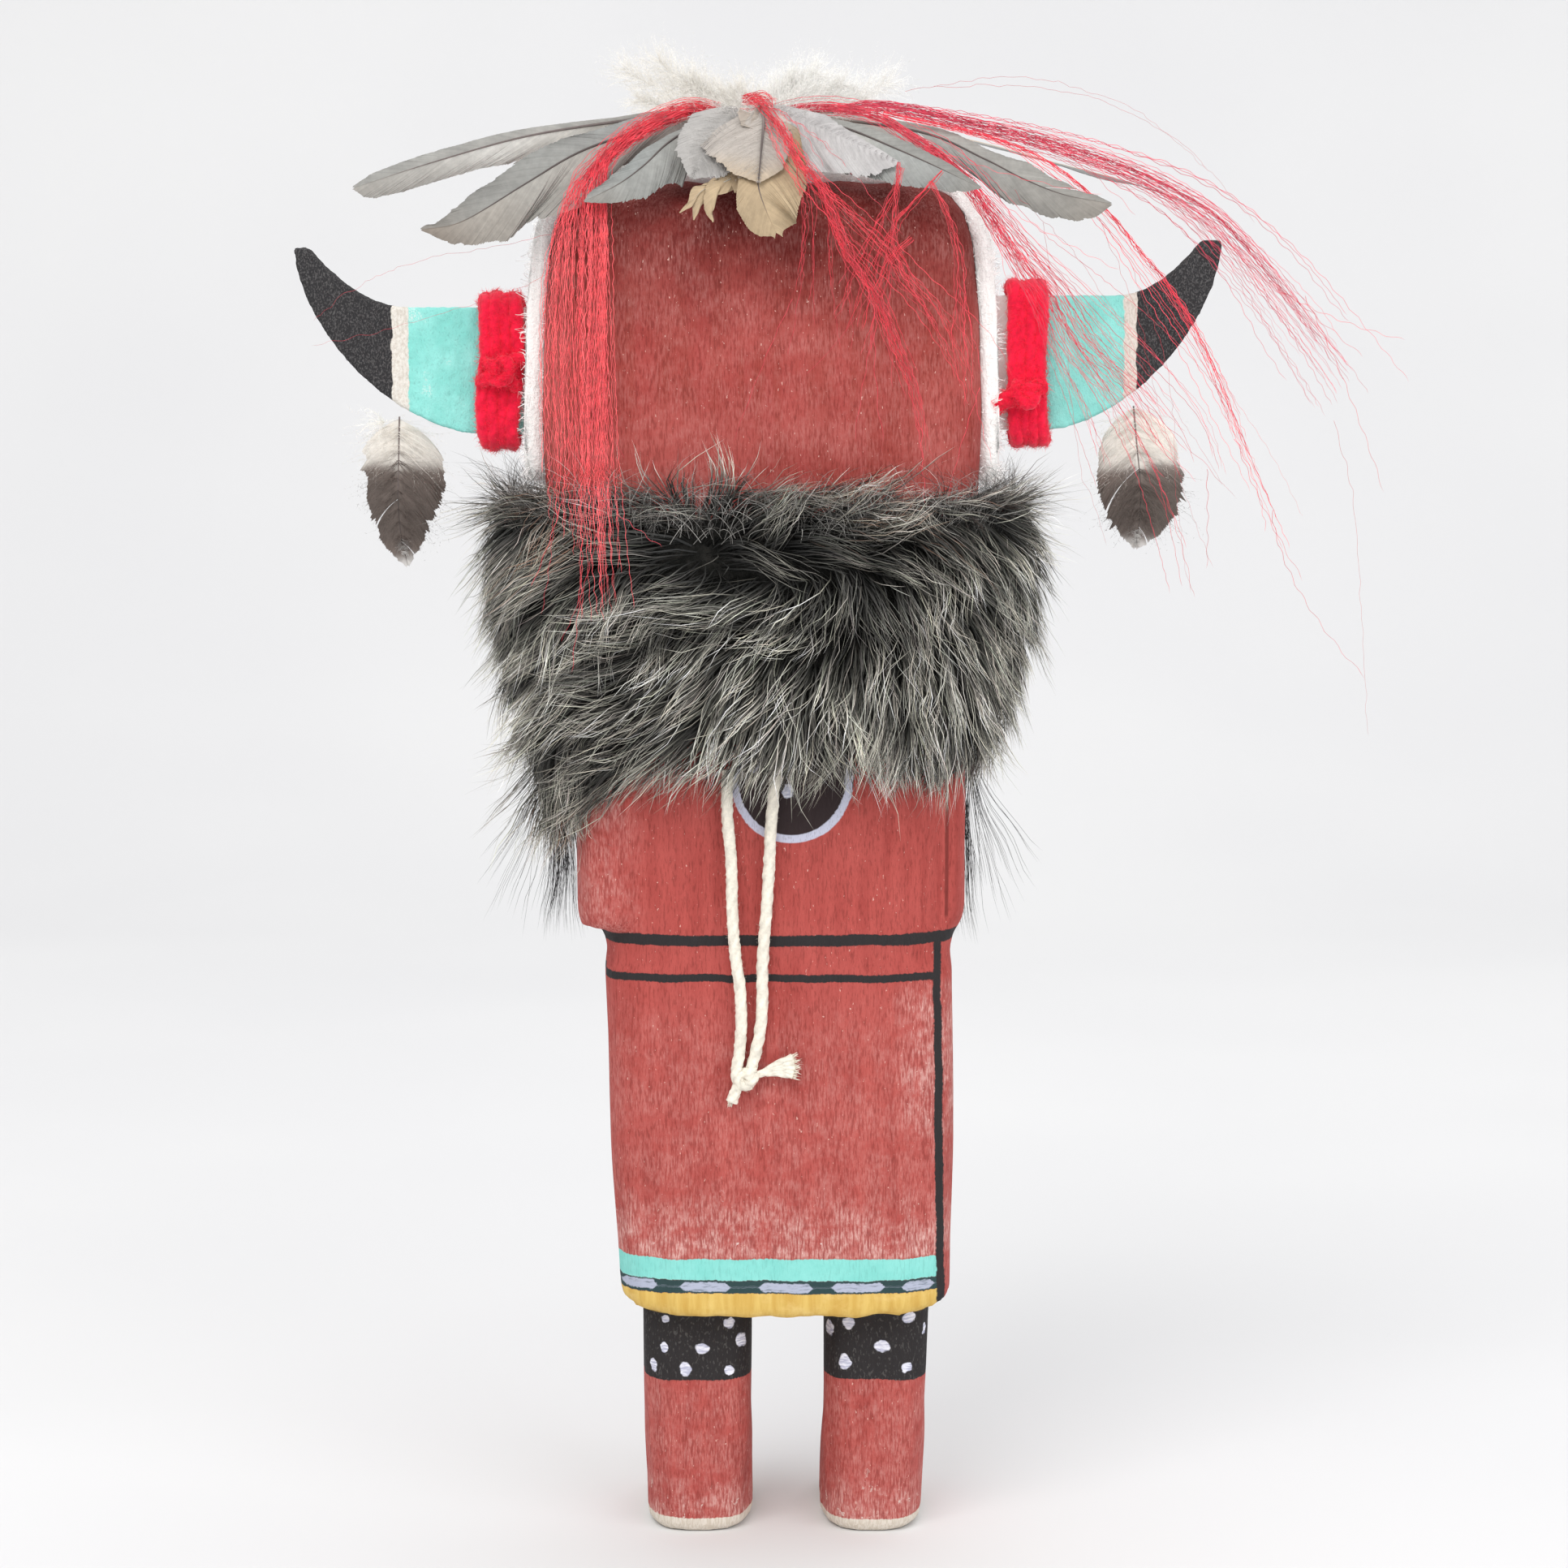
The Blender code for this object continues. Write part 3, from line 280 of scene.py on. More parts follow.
def scatter(node, count, seed, keep=None):
    """Random points on a node's surface with their outward directions."""
    shell = solid(node)
    spots = np.array([vert.co for vert in shell.verts])
    outs = np.array([vert.normal for vert in shell.verts])
    faces = np.array([[vert.index for vert in face.verts] for face in shell.faces])
    shell.free()
    a, b, c = (spots[faces[:, k]] for k in range(3))
    area = np.linalg.norm(np.cross(b - a, c - a), axis=1)
    rng = np.random.default_rng(seed)
    face = rng.choice(len(faces), count, p=area / area.sum())
    u, v = np.sqrt(rng.random(count)), rng.random(count)
    share = np.stack((1 - u, u * (1 - v), u * v), axis=1)[..., None]
    points = (spots[faces[face]] * share).sum(1)
    normals = unit((outs[faces[face]] * share).sum(1))
    if keep is not None:
        good = keep(points)
        points, normals = points[good], normals[good]
    return points, normals


def remeshed(node, voxel, rounds):
    """An even, fine copy of a node's solid, its facets smoothed."""
    shell = solid(node)
    mesh = bpy.data.meshes.new("even_" + node)
    shell.to_mesh(mesh)
    shell.free()
    item = add_object("even_" + node, mesh)
    remesh = item.modifiers.new("even", "REMESH")
    remesh.mode = "VOXEL"
    remesh.voxel_size = voxel
    ease = item.modifiers.new("ease", "SMOOTH")
    ease.iterations = rounds
    shown = item.evaluated_get(bpy.context.evaluated_depsgraph_get())
    result = bpy.data.meshes.new_from_object(shown)
    bpy.data.objects.remove(item)
    bpy.data.meshes.remove(mesh)
    result.shade_smooth()
    return result


def read_points(mesh):
    points = np.empty(len(mesh.vertices) * 3, np.float32)
    mesh.vertices.foreach_get("co", points)
    normals = np.empty(len(mesh.vertices) * 3, np.float32)
    mesh.vertices.foreach_get("normal", normals)
    return points.reshape(-1, 3).astype(float), normals.reshape(-1, 3).astype(float)


def write_points(mesh, points):
    mesh.vertices.foreach_set("co", points.astype(np.float32).ravel())
    mesh.update()


# Materials

class Paint:
    """A node material, built a node at a time."""

    def __init__(self, name, roughness=0.7, specular=0.3, sheen=0.0):
        self.material = bpy.data.materials.new(name)
        self.material.use_nodes = True
        self.tree = self.material.node_tree
        self.shader = self.tree.nodes["Principled BSDF"]
        self.shader.inputs["Roughness"].default_value = roughness
        self.shader.inputs["Specular IOR Level"].default_value = specular
        self.shader.inputs["Sheen Weight"].default_value = sheen
        self.place = self.node("ShaderNodeTexCoord").outputs["Object"]

    def node(self, kind, **values):
        node = self.tree.nodes.new(kind)
        for name, value in values.items():
            setattr(node, name, value)
        return node

    def feed(self, socket, value):
        if isinstance(value, bpy.types.NodeSocket):
            self.tree.links.new(value, socket)
        elif isinstance(value, tuple) and len(value) == 3 and socket.type == "RGBA":
            socket.default_value = (*value, 1.0)
        else:
            socket.default_value = value

    def math(self, operation, *values, clamp=False):
        node = self.node("ShaderNodeMath", operation=operation, use_clamp=clamp)
        for socket, value in zip(node.inputs, values):
            self.feed(socket, value)
        return node.outputs[0]

    def times(self, first, *others):
        for other in others:
            first = self.math("MULTIPLY", first, other)
        return first

    def most(self, first, *others):
        """The largest of the values."""
        for other in others:
            first = self.math("MAXIMUM", first, other)
        return first

    def plus(self, a, b):
        return self.math("ADD", a, b)

    def minus(self, a, b):
        return self.math("SUBTRACT", a, b)

    def off(self, value, middle):
        """How far a value is from a middle, on either side."""
        return self.math("ABSOLUTE", self.minus(value, middle))

    def axes(self, vector=None):
        node = self.node("ShaderNodeSeparateXYZ")
        self.feed(node.inputs[0], vector or self.place)
        return node.outputs

    def stretched(self, scale, vector=None):
        node = self.node("ShaderNodeVectorMath", operation="MULTIPLY")
        self.feed(node.inputs[0], vector or self.place)
        node.inputs[1].default_value = scale
        return node.outputs[0]

    def noise(self, scale, detail=3.0, roughness=0.6, vector=None):
        """Noise about 0.5. The scale is in features a metre."""
        node = self.node("ShaderNodeTexNoise")
        self.feed(node.inputs["Vector"], vector or self.place)
        node.inputs["Scale"].default_value = scale
        node.inputs["Detail"].default_value = detail
        node.inputs["Roughness"].default_value = roughness
        return node.outputs["Fac"]

    def grain(self, scales, detail=2.0, roughness=0.6):
        """Noise with a scale of its own along each axis."""
        return self.noise(1.0, detail, roughness, self.stretched(scales))

    def span(self, value, low, high, out_low=0.0, out_high=1.0):
        """Maps low..high to out_low..out_high and stops there."""
        node = self.node("ShaderNodeMapRange", interpolation_type="SMOOTHSTEP")
        for socket, given in zip(node.inputs, (value, low, high, out_low, out_high)):
            self.feed(socket, given)
        return node.outputs[0]

    def blend(self, share, a, b, way="MIX"):
        node = self.node("ShaderNodeMix", data_type="RGBA", blend_type=way)
        self.feed(node.inputs["Factor"], share)
        self.feed(node.inputs["A"], a)
        self.feed(node.inputs["B"], b)
        return node.outputs["Result"]

    def tint(self):
        return self.node("ShaderNodeVertexColor", layer_name="tint").outputs["Color"]

    def colour(self, value):
        self.feed(self.shader.inputs["Base Color"], value)

    def rough(self, value):
        self.feed(self.shader.inputs["Roughness"], value)

    def relief(self, height, distance, strength=1.0):
        node = self.node("ShaderNodeBump")
        node.inputs["Strength"].default_value = strength
        node.inputs["Distance"].default_value = distance
        self.feed(node.inputs["Height"], height)
        self.feed(self.shader.inputs["Normal"], node.outputs[0])


def fibre_paint(name, roughness=0.6, specular=0.3, sheen=0.0, mottle=0.25, pitch=900.0):
    """Takes each strand's own colour and mottles it a little along its length."""
    paint = Paint(name, roughness, specular, sheen)
    light = paint.span(paint.noise(pitch), 0.3, 0.7, 1.0 - mottle, 1.0 + mottle * 0.5)
    node = paint.node("ShaderNodeVectorMath", operation="SCALE")
    paint.feed(node.inputs[0], paint.tint())
    paint.feed(node.inputs["Scale"], light)
    paint.colour(node.outputs[0])
    return paint.material


# Camera, floor and light

def set_stage():
    """A camera at the photograph's viewing angle, a pale floor that curves up behind, and soft light."""
    camera = bpy.data.cameras.new("camera")
    camera.lens = 89.0
    camera.sensor_width = 36.0
    camera.clip_start = 0.01
    viewer = add_object("camera", camera)
    viewer.location = SHIFT + Vector((0.0, -0.80, 0.235))
    viewer.rotation_euler = (math.radians(90.0 - 5.7), 0.0, 0.0)
    bpy.context.scene.camera = viewer

    reach, radius, depth = 3.0, 0.7, 0.9
    turns = np.linspace(0, math.pi / 2, 24)
    profile = [(-reach, 0.0)]
    profile += [(depth + radius * math.sin(turn), radius * (1 - math.cos(turn))) for turn in turns]
    profile.append((depth + radius, reach))
    sheet = Batch()
    rows = np.array([[(x, y, z) for y, z in profile] for x in (-reach, reach)])
    sheet.grid(rows, np.ones(3))
    paper = Paint("pale_paper", roughness=0.85, specular=0.2)
    cloud = paint_cloud(paper, (0.72, 0.72, 0.73), (0.755, 0.755, 0.76), 1.5)
    paper.colour(cloud)
    floor = add_object("floor", sheet.mesh("floor"))
    floor.data.materials.append(paper.material)
    floor.location = (0.0, 0.0, -0.0001)

    world = bpy.data.worlds.new("room")
    world.use_nodes = True
    world.node_tree.nodes["Background"].inputs["Color"].default_value = (1.0, 1.0, 1.0, 1.0)
    world.node_tree.nodes["Background"].inputs["Strength"].default_value = 0.74
    bpy.context.scene.world = world
    lamps = (
        ("key", (-0.62, -1.30, 1.55), 1.10, 18.0, (1.0, 0.985, 0.965)),
        ("fill", (1.05, -1.20, 0.85), 1.40, 11.0, (0.98, 0.99, 1.0)),
        ("overhead", (0.15, 0.55, 1.70), 1.40, 9.0, (1.0, 1.0, 1.0)),
    )
    for name, spot, size, power, colour in lamps:
        light = bpy.data.lights.new(name, "AREA")
        light.size = size
        light.energy = power
        light.color = colour
        lamp = add_object(name, light)
        lamp.location = SHIFT + Vector(spot)
        target = SHIFT + Vector((0.0, 0.0, 0.15))
        lamp.rotation_euler = (target - lamp.location).to_track_quat("-Z", "Y").to_euler()
    bpy.context.scene.view_settings.view_transform = "Standard"


def paint_cloud(paint, dark, light, scale, low=0.35, high=0.65):
    return paint.blend(paint.span(paint.noise(scale), low, high), dark, light)


# Cotton cord

CORD_LEFT_ROUTE = (
    (-0.0113, 0.1602), (-0.0115, 0.1560), (-0.0114, 0.1500), (-0.0108, 0.1435), (-0.0106, 0.1380),
    (-0.0105, 0.1320), (-0.0102, 0.1260), (-0.0096, 0.1205), (-0.0089, 0.1160), (-0.0087, 0.1115),
    (-0.0087, 0.1070), (-0.0090, 0.1030), (-0.0095, 0.0995),
)
CORD_RIGHT_ROUTE = (
    (-0.0015, 0.1608), (-0.0021, 0.1550), (-0.0026, 0.1490), (-0.0029, 0.1430), (-0.0032, 0.1370),
    (-0.0036, 0.1310), (-0.0041, 0.1250), (-0.0044, 0.1190), (-0.0044, 0.1135), (-0.0046, 0.1090),
    (-0.0052, 0.1050), (-0.0059, 0.1020), (-0.0065, 0.0995),
)
COTTON = np.array((0.86, 0.81, 0.70))


def twisted(batch, path, radius, plies, pitch, tint, phase=0.0, groove=0.22, sides=24, seed=1, ends=(1.0, 1.0),
            dark=0.80):
    """A tube of twisted plies: its outline has one lobe a ply, and turns along the path. The tint is painted darker
    between the plies, a painted shade in the grooves.
    """
    _, side, out = frames(path, np.array((0.0, 1.0, 0.12)))
    lengths = np.concatenate(((0.0,), np.linalg.norm(np.diff(path, axis=0), axis=1).cumsum()))
    turns = math.tau * np.arange(sides) / sides
    lobe = np.abs(np.cos(0.5 * plies * (turns[None] - math.tau * lengths[:, None] / pitch + phase)))
    share = lengths / lengths[-1]
    size = radius * (mix(ends[0], ends[1], share))[:, None] * (1 - groove + groove * lobe ** 0.6)
    rim = side[:, None] * np.cos(turns)[:, None] + out[:, None] * np.sin(turns)[:, None]
    points = path[:, None] + rim * size[..., None]
    points = points + rim * (0.07 * radius * drift(points, 1.6 * MM, seed))[..., None]
    # Painted shade: the tint falls to dark in the grooves between plies and is full on each lobe
    shade = mix(dark, 1.0, lobe)[..., None] * (1 + 0.05 * drift(points, 3 * MM, seed + 1))[..., None]
    batch.grid(points, tint * shade, closed=True)
    for end, ring in ((0, points[0]), (-1, points[-1])):
        middle = path[end]
        fan = np.array([(k, (k + 1) % sides, sides) for k in range(sides)])
        batch.add(np.vstack((ring, middle)), np.tile(tint * 0.9, (sides + 1, 1)), fan)


def fuzz(batch, path, radius, count, reach, half, tint, seed, spread=0.35):
    """Short loose fibres round a path."""
    rng = np.random.default_rng(seed)
    along, side, out = frames(path, np.array((0.0, 1.0, 0.12)))
    at = rng.integers(0, len(path), count)
    turn = rng.uniform(0, math.tau, count)[:, None]
    away = side[at] * np.cos(turn) + out[at] * np.sin(turn)
    root = path[at] + away * (0.86 * radius)
    lean = along[at] * rng.normal(0, 1.0, (count, 1)) + np.cross(along[at], away) * rng.normal(0, 1.1, (count, 1))
    far = reach * rng.uniform(0.35, 1.0, (count, 1))
    t = np.linspace(0, 1, 3)[None, :, None]
    line = root[:, None] + (away * spread)[:, None] * far[:, None] * t + unit(lean)[:, None] * far[:, None] * t
    line += rng.normal(0, 0.10, line.shape) * far[:, None] * t
    flat = random_side(line, rng)
    tone = tint * rng.uniform(0.75, 1.15, (count, 1, 1))
    width = half * np.linspace(1.0, 0.4, 3)[None] * np.ones((count, 1))
    batch.ribbons(line, width, flat, np.broadcast_to(tone, line.shape))


def make_cord(side, route, material):
    points = [(x, CORD_Y, z) for x, z in route]
    path = even(curve_through(points, 200), 110)
    seed = 4 if side == "left" else 5
    batch = Batch()
    twisted(batch, path, CORD_DIAMETER / 2, 3, 9.5 * MM, COTTON, groove=0.11, seed=seed, dark=0.88)
    fuzz(batch, path, CORD_DIAMETER / 2, 700, 1.3 * MM, 0.020 * MM, COTTON, seed=11 + seed)
    piece = put("twine_" + side, batch.mesh("twine_" + side), material, "cotton_twine", "cord_" + side)


def make_knot(material):
    """Two turns round both strands, a short cut tail and a longer one that has come apart."""
    batch = Batch()
    middle = np.array((-0.0080, CORD_Y - 0.3 * MM, 0.0971))
    radius = CORD_DIAMETER / 2
    turns = np.linspace(0, math.tau, 40)
    for tilt, wide, high, x, z, seed in ((0.5, 2.0, 1.5, 0.6, 0.3, 5), (-0.7, 1.9, 1.3, -0.2, -0.3, 6)):
        ring = np.stack((wide * np.cos(turns), 0.60 * np.sin(turns), high * np.sin(turns)), axis=1) * 0.70 * MM
        turned = np.stack((ring[:, 0] * math.cos(tilt) - ring[:, 2] * math.sin(tilt), ring[:, 1],
                           ring[:, 0] * math.sin(tilt) + ring[:, 2] * math.cos(tilt)), axis=1)
        path = middle + turned + np.array((x, -0.2, z)) * MM
        twisted(batch, path, 0.88 * radius, 3, 6 * MM, COTTON, groove=0.16, seed=seed)
        fuzz(batch, path, radius, 200, 1.1 * MM, 0.018 * MM, COTTON, seed=seed + 20)
    for places, seed in ((((-1.5, 0.3, 2.4), (-1.6, 0, 0.6), (-1.2, -0.2, -0.6)), 8),
                         (((1.5, 0.3, 2.4), (1.0, -0.3, 1.0), (0.4, -0.5, 0.0)), 9)):
        twisted(batch, curve_from(middle, places, 20), radius, 3, 7 * MM, COTTON, groove=0.16, seed=seed)
    path = curve_from(middle, ((-0.8, -0.1, -0.4), (-1.5, 0, -1.6), (-2.1, 0, -3.2), (-2.7, 0, -4.7)), 30)
    twisted(batch, path, 0.95 * radius, 3, 8 * MM, COTTON, groove=0.16, seed=10, ends=(0.95, 1.12))
    cut_ends(batch, path, 40, 1.1 * MM, 0.12 * MM, 31)
    splay = ((-0.9, 2.0), (-0.1, 2.0), (0.9, 2.1), (1.9, 2.3), (3.0, 2.6))
    for number, (drop, lift) in enumerate(splay):
        steps = ((0.8, -0.2, 0.2), (3.6, -0.3, 0.9 + 0.12 * lift + 0.10 * drop),
                 (6.6, -0.3 - 0.1 * number, 1.7 + 0.55 * drop), (10.2 - 0.25 * abs(drop - 1), -0.2, 1.6 + drop))
        path = curve_from(middle, steps, 34)
        twisted(batch, path, 0.46 * radius, 2, 5 * MM, COTTON * 1.03, groove=0.16, seed=40 + number, ends=(1.0, 1.25))
        cut_ends(batch, path, 34, 1.4 * MM, 0.11 * MM, 60 + number)
        fuzz(batch, path, 0.46 * radius, 90, 1.1 * MM, 0.016 * MM, COTTON, seed=80 + number)
    return put("twine_knot", batch.mesh("twine_knot"), material, "cotton_twine", "cord_knot")


def cut_ends(batch, path, count, reach, half, seed):
    """The brush of fibres at a cut end."""
    rng = np.random.default_rng(seed)
    along = unit(path[-1] - path[-3])
    t = np.linspace(0, 1, 4)[None, :, None]
    start = path[-2] + rng.normal(0, 0.28 * MM, (count, 3))
    line = start[:, None] + (along + rng.normal(0, 0.22, (count, 3)))[:, None] * t * reach * rng.uniform(
        0.5, 1.1, (count, 1, 1))
    flat = random_side(line, rng)
    width = half * np.linspace(1.0, 0.35, 4)[None] * np.ones((count, 1))
    tone = COTTON * rng.uniform(0.85, 1.2, (count, 1, 1))
    batch.ribbons(line, width, flat, np.broadcast_to(tone, line.shape))


# Carved and painted figure

RED = (0.445, 0.080, 0.068)
RED_DEEP = (0.350, 0.055, 0.047)
HEAD_RED = (0.360, 0.056, 0.049)
CHALK = (0.70, 0.44, 0.40)
BLACK = (0.027, 0.024, 0.025)
LAVENDER = (0.55, 0.56, 0.68)
TURQUOISE = (0.215, 0.620, 0.560)
OCHRE = (0.72, 0.505, 0.150)
BARE_WOOD = (0.74, 0.68, 0.60)

# Painted lines: the height of the middle and the width, and for the flap x at the waist, x at the hem, the width
WAIST_LINE = (0.1252, 0.0023)
BELT_LINE = (0.1174, 0.0016)
FLAP_LINE = (0.0312, 0.0322, 0.0017)
# Bands by their lower and upper edge, and the dashes in one of them by start and end in x and by height
TURQUOISE_BAND = (0.0547, 0.0592)
DASH_BAND = (0.0520, 0.0547)
DASHES = (
    (-0.0333, -0.0262, 0.0536), (-0.0213, -0.0112, 0.0534), (-0.0050, 0.0058, 0.0533), (0.0100, 0.0204, 0.0534),
    (0.0245, 0.0306, 0.0534),
)
DASH_HALF_H = 0.00100
# The disc's middle in x and z and its radius
DISC = (0.0016, 0.1573, 0.0121)
LEG_BAND_Z = 0.0322
SOLE_RIM_Z = 0.0027
# Dots on the leg bands: x, z, then half the width and half the height in mm
LEFT_DOTS = (
    (-0.0247, 0.0391, 0.75, 1.10), (-0.0169, 0.0389, 1.30, 1.10), (-0.0089, 0.0402, 1.10, 1.45),
    (-0.0271, 0.0350, 0.65, 1.40), (-0.0205, 0.0345, 1.10, 1.55), (-0.0114, 0.0341, 1.00, 1.00),
    (-0.0244, 0.0449, 0.85, 0.85), (-0.0114, 0.0441, 1.20, 1.10),
)
RIGHT_DOTS = (
    (0.0134, 0.0442, 1.30, 1.20), (0.0259, 0.0454, 1.25, 1.10), (0.0094, 0.0423, 0.85, 1.55),
    (0.0292, 0.0421, 0.50, 1.30), (0.0203, 0.0394, 1.65, 1.20), (0.0126, 0.0359, 1.25, 1.60),
    (0.0255, 0.0347, 1.10, 1.10),
)
# A carved line beside the right arm, sunk in the relief and painted dark as the shade in it: x and width
GROOVE = (0.0333, 0.0007)


def wood_paint():
    """Matt paint over short wood fibres, with every painted line, band, disc and dot."""
    paint = Paint("painted_wood", roughness=0.80, specular=0.20)
    fibre = paint.grain((2500.0, 2500.0, 430.0), 3.0)
    fine = paint.grain((5200.0, 5200.0, 1200.0))
    streak = paint.grain((520.0, 520.0, 38.0), 3.0)
    cloud = paint.noise(62.0, 4.0)
    blotch = paint.grain((150.0, 150.0, 210.0), 5.0, 0.7)
    speck = paint.grain((2300.0, 2300.0, 1100.0), 2.0, 0.5)
    hand = paint.noise(120.0, 3.0, 0.55)
    bristle = paint.grain((500.0, 500.0, 2600.0))
    x, y, z = paint.axes()[:3]
    wobble = paint.span(hand, 0.25, 0.75, -0.00022, 0.00022)
    ragged = paint.span(paint.noise(1500.0, 2.0), 0.3, 0.7, -0.00009, 0.00009)
    wobble = paint.plus(wobble, ragged)
    zw = paint.plus(z, wobble)
    xw = paint.plus(x, wobble)

    red = paint.blend(paint.span(streak, 0.30, 0.70), RED_DEEP, RED)
    red = paint.blend(paint.span(cloud, 0.30, 0.72, 0.0, 0.5), red, (0.475, 0.098, 0.085))
    head = paint.blend(paint.span(streak, 0.34, 0.66), (0.315, 0.048, 0.038), HEAD_RED)
    head = paint.blend(paint.span(cloud, 0.35, 0.70, 0.0, 0.7), head, (0.45, 0.092, 0.080))
    is_head = paint.span(z, 0.176, 0.182)
    # Painted shadow: the head is painted much darker, unevenly, towards its top, as the shade of the feathers and hair
    # above it
    high = paint.times(paint.span(z, 0.240, 0.270), paint.span(cloud, 0.25, 0.65, 1.0, 0.7))
    head = paint.blend(high, head, (0.12, 0.009, 0.007))
    red = paint.blend(is_head, red, head)
    lines = paint.times(paint.span(fibre, 0.34, 0.50, 0.74, 1.0), paint.span(fine, 0.30, 0.50, 0.86, 1.0))
    red = paint.blend(1.0, red, lines, "MULTIPLY")

    # Chalky wear: a haze over the kilt, stronger above the bands, by the flap and at the feet
    low_kilt = paint.times(paint.span(z, 0.080, 0.0595), paint.span(z, 0.0588, 0.0600))
    flap_side = paint.times(paint.span(x, 0.018, 0.031), paint.span(z, 0.118, 0.112),
                            paint.span(z, 0.070, 0.095), 0.85)
    feet = paint.span(z, 0.019, 0.001)
    legs = paint.times(paint.span(z, 0.0322, 0.030), 0.30)
    kilt = paint.times(paint.span(z, 0.118, 0.100), 0.24)
    left_torso = paint.times(paint.span(x, -0.026, -0.036, 0.0, 0.4), paint.span(z, 0.124, 0.128))
    wear = paint.most(low_kilt, flap_side, paint.times(feet, 0.85), legs, kilt, left_torso)
    wear = paint.times(wear, paint.minus(1.0, is_head))
    wear = paint.most(wear, paint.times(is_head, 0.16))
    patchy = paint.times(wear, paint.span(blotch, 0.34, 0.64, 0.15, 1.35))
    dusty = paint.times(paint.span(fibre, 0.40, 0.62, 0.15, 0.95), paint.span(fine, 0.35, 0.65, 0.55, 1.0))
    grainy = paint.times(patchy, dusty)
    red = paint.blend(paint.math("MULTIPLY", grainy, 0.85, clamp=True), red, CHALK)
    dabs = paint.times(paint.span(paint.noise(230.0, 4.0, 0.7), 0.665, 0.70), low_kilt,
                       paint.span(fibre, 0.35, 0.5), 0.8)
    red = paint.blend(dabs, red, (0.80, 0.68, 0.64))
    red = paint.blend(paint.span(speck, 0.715, 0.74, 0.0, 0.7), red, (0.74, 0.46, 0.40))

    # Lines of the belt and of the kilt's overlap
    def stripe(value, middle, wide):
        return paint.span(paint.off(value, middle), wide / 2 + 0.00014, wide / 2 - 0.00014)

    flap_x = paint.span(z, 0.1263, 0.0505, FLAP_LINE[0], FLAP_LINE[1])
    before_flap = paint.span(paint.minus(xw, flap_x), 0.0001, -0.0001)
    at_back = paint.span(y, 0.004, 0.003)
    left_of_flap = paint.most(before_flap, paint.minus(1.0, at_back))
    waist = stripe(zw, *WAIST_LINE)
    belt = paint.times(stripe(zw, *BELT_LINE), left_of_flap)
    flap = paint.times(stripe(xw, flap_x, FLAP_LINE[2]), paint.span(z, 0.1262, 0.1257),
                       paint.span(z, 0.0462, 0.0466), at_back)
    dark = paint.most(waist, belt, flap)
    # Painted shade in the groove beside the right arm: the line is darkened as well as sunk in the relief
    groove = paint.times(stripe(x, *GROOVE), paint.span(z, 0.1285, 0.1295), at_back,
                         paint.span(z, 0.176, 0.174))
    red = paint.blend(paint.times(groove, 0.8), red, (0.16, 0.026, 0.022))

    # Bands round the hem
    hem = paint.times(left_of_flap, paint.span(z, 0.0455, 0.0458))

    def band(low, high):
        return paint.times(paint.span(zw, low, low + 0.0002), paint.span(zw, high + 0.0002, high))

    bright = paint.blend(paint.span(blotch, 0.3, 0.7), TURQUOISE, (0.265, 0.68, 0.62))
    bright = paint.blend(1.0, bright, paint.span(fibre, 0.34, 0.5, 0.88, 1.0), "MULTIPLY")
    colour = paint.blend(paint.times(hem, band(*TURQUOISE_BAND)), red, bright)
    ochre = paint.span(zw, DASH_BAND[0] + 0.0002, DASH_BAND[0])
    gold = paint.blend(paint.span(streak, 0.3, 0.7), (0.60, 0.37, 0.085), OCHRE)
    gold = paint.blend(paint.span(blotch, 0.45, 0.7, 0.0, 0.5), gold, (0.80, 0.60, 0.24))
    colour = paint.blend(paint.times(hem, ochre), colour, gold)
    colour = paint.blend(paint.times(hem, band(*DASH_BAND)), colour, (0.030, 0.060, 0.062))
    dashes = []
    for start, end, height in DASHES:
        wide = paint.times(paint.span(xw, start - 0.0006, start + 0.0010),
                           paint.span(xw, end + 0.0006, end - 0.0010), DASH_HALF_H)
        dashes.append(paint.span(paint.minus(wide, paint.off(zw, height)), -0.0001, 0.00022))
    silver = paint.times(paint.most(*dashes), hem, paint.span(bristle, 0.25, 0.5, 0.45, 1.0))
    colour = paint.blend(silver, colour, (0.42, 0.45, 0.56))

    # Disc on the back, mostly under the fur
    off_x = paint.minus(xw, DISC[0])
    off_z = paint.minus(z, DISC[1])
    far = paint.math("SQRT", paint.plus(paint.times(off_x, off_x), paint.times(off_z, off_z)))
    on_back = paint.span(y, -0.012, -0.014)
    disc = paint.times(paint.span(far, DISC[2], DISC[2] - 0.0002), on_back)
    colour = paint.blend(disc, colour, (0.032, 0.021, 0.022))
    edge = paint.times(stripe(far, DISC[2] - 0.0007, 0.0016), on_back)
    colour = paint.blend(paint.times(edge, paint.span(fine, 0.3, 0.5, 0.72, 1.0)), colour, LAVENDER)

    # Leg bands, moccasins and bare soles
    leg = paint.span(z, 0.0466, 0.0462)
    black_leg = paint.times(leg, paint.span(zw, LEG_BAND_Z - 0.0001, LEG_BAND_Z + 0.0001))
    worn_black = paint.blend(paint.times(paint.span(speck, 0.56, 0.70), 0.25), BLACK, (0.20, 0.19, 0.18))
    colour = paint.blend(black_leg, colour, worn_black)

    # Dots with uneven edges: the place is shaken a little before it is compared with a dot's middle
    shake = paint.node("ShaderNodeTexNoise")
    paint.feed(shake.inputs["Vector"], paint.place)
    shake.inputs["Scale"].default_value = 620.0
    lift = paint.node("ShaderNodeVectorMath", operation="MULTIPLY_ADD")
    paint.feed(lift.inputs[0], shake.outputs["Color"])
    lift.inputs[1].default_value = (0.0013, 0.0013, 0.0013)
    lift.inputs[2].default_value = (-0.00065, -0.00065, -0.00065)
    sum_node = paint.node("ShaderNodeVectorMath", operation="ADD")
    paint.feed(sum_node.inputs[0], paint.place)
    paint.feed(sum_node.inputs[1], lift.outputs[0])
    uneven = sum_node.outputs[0]

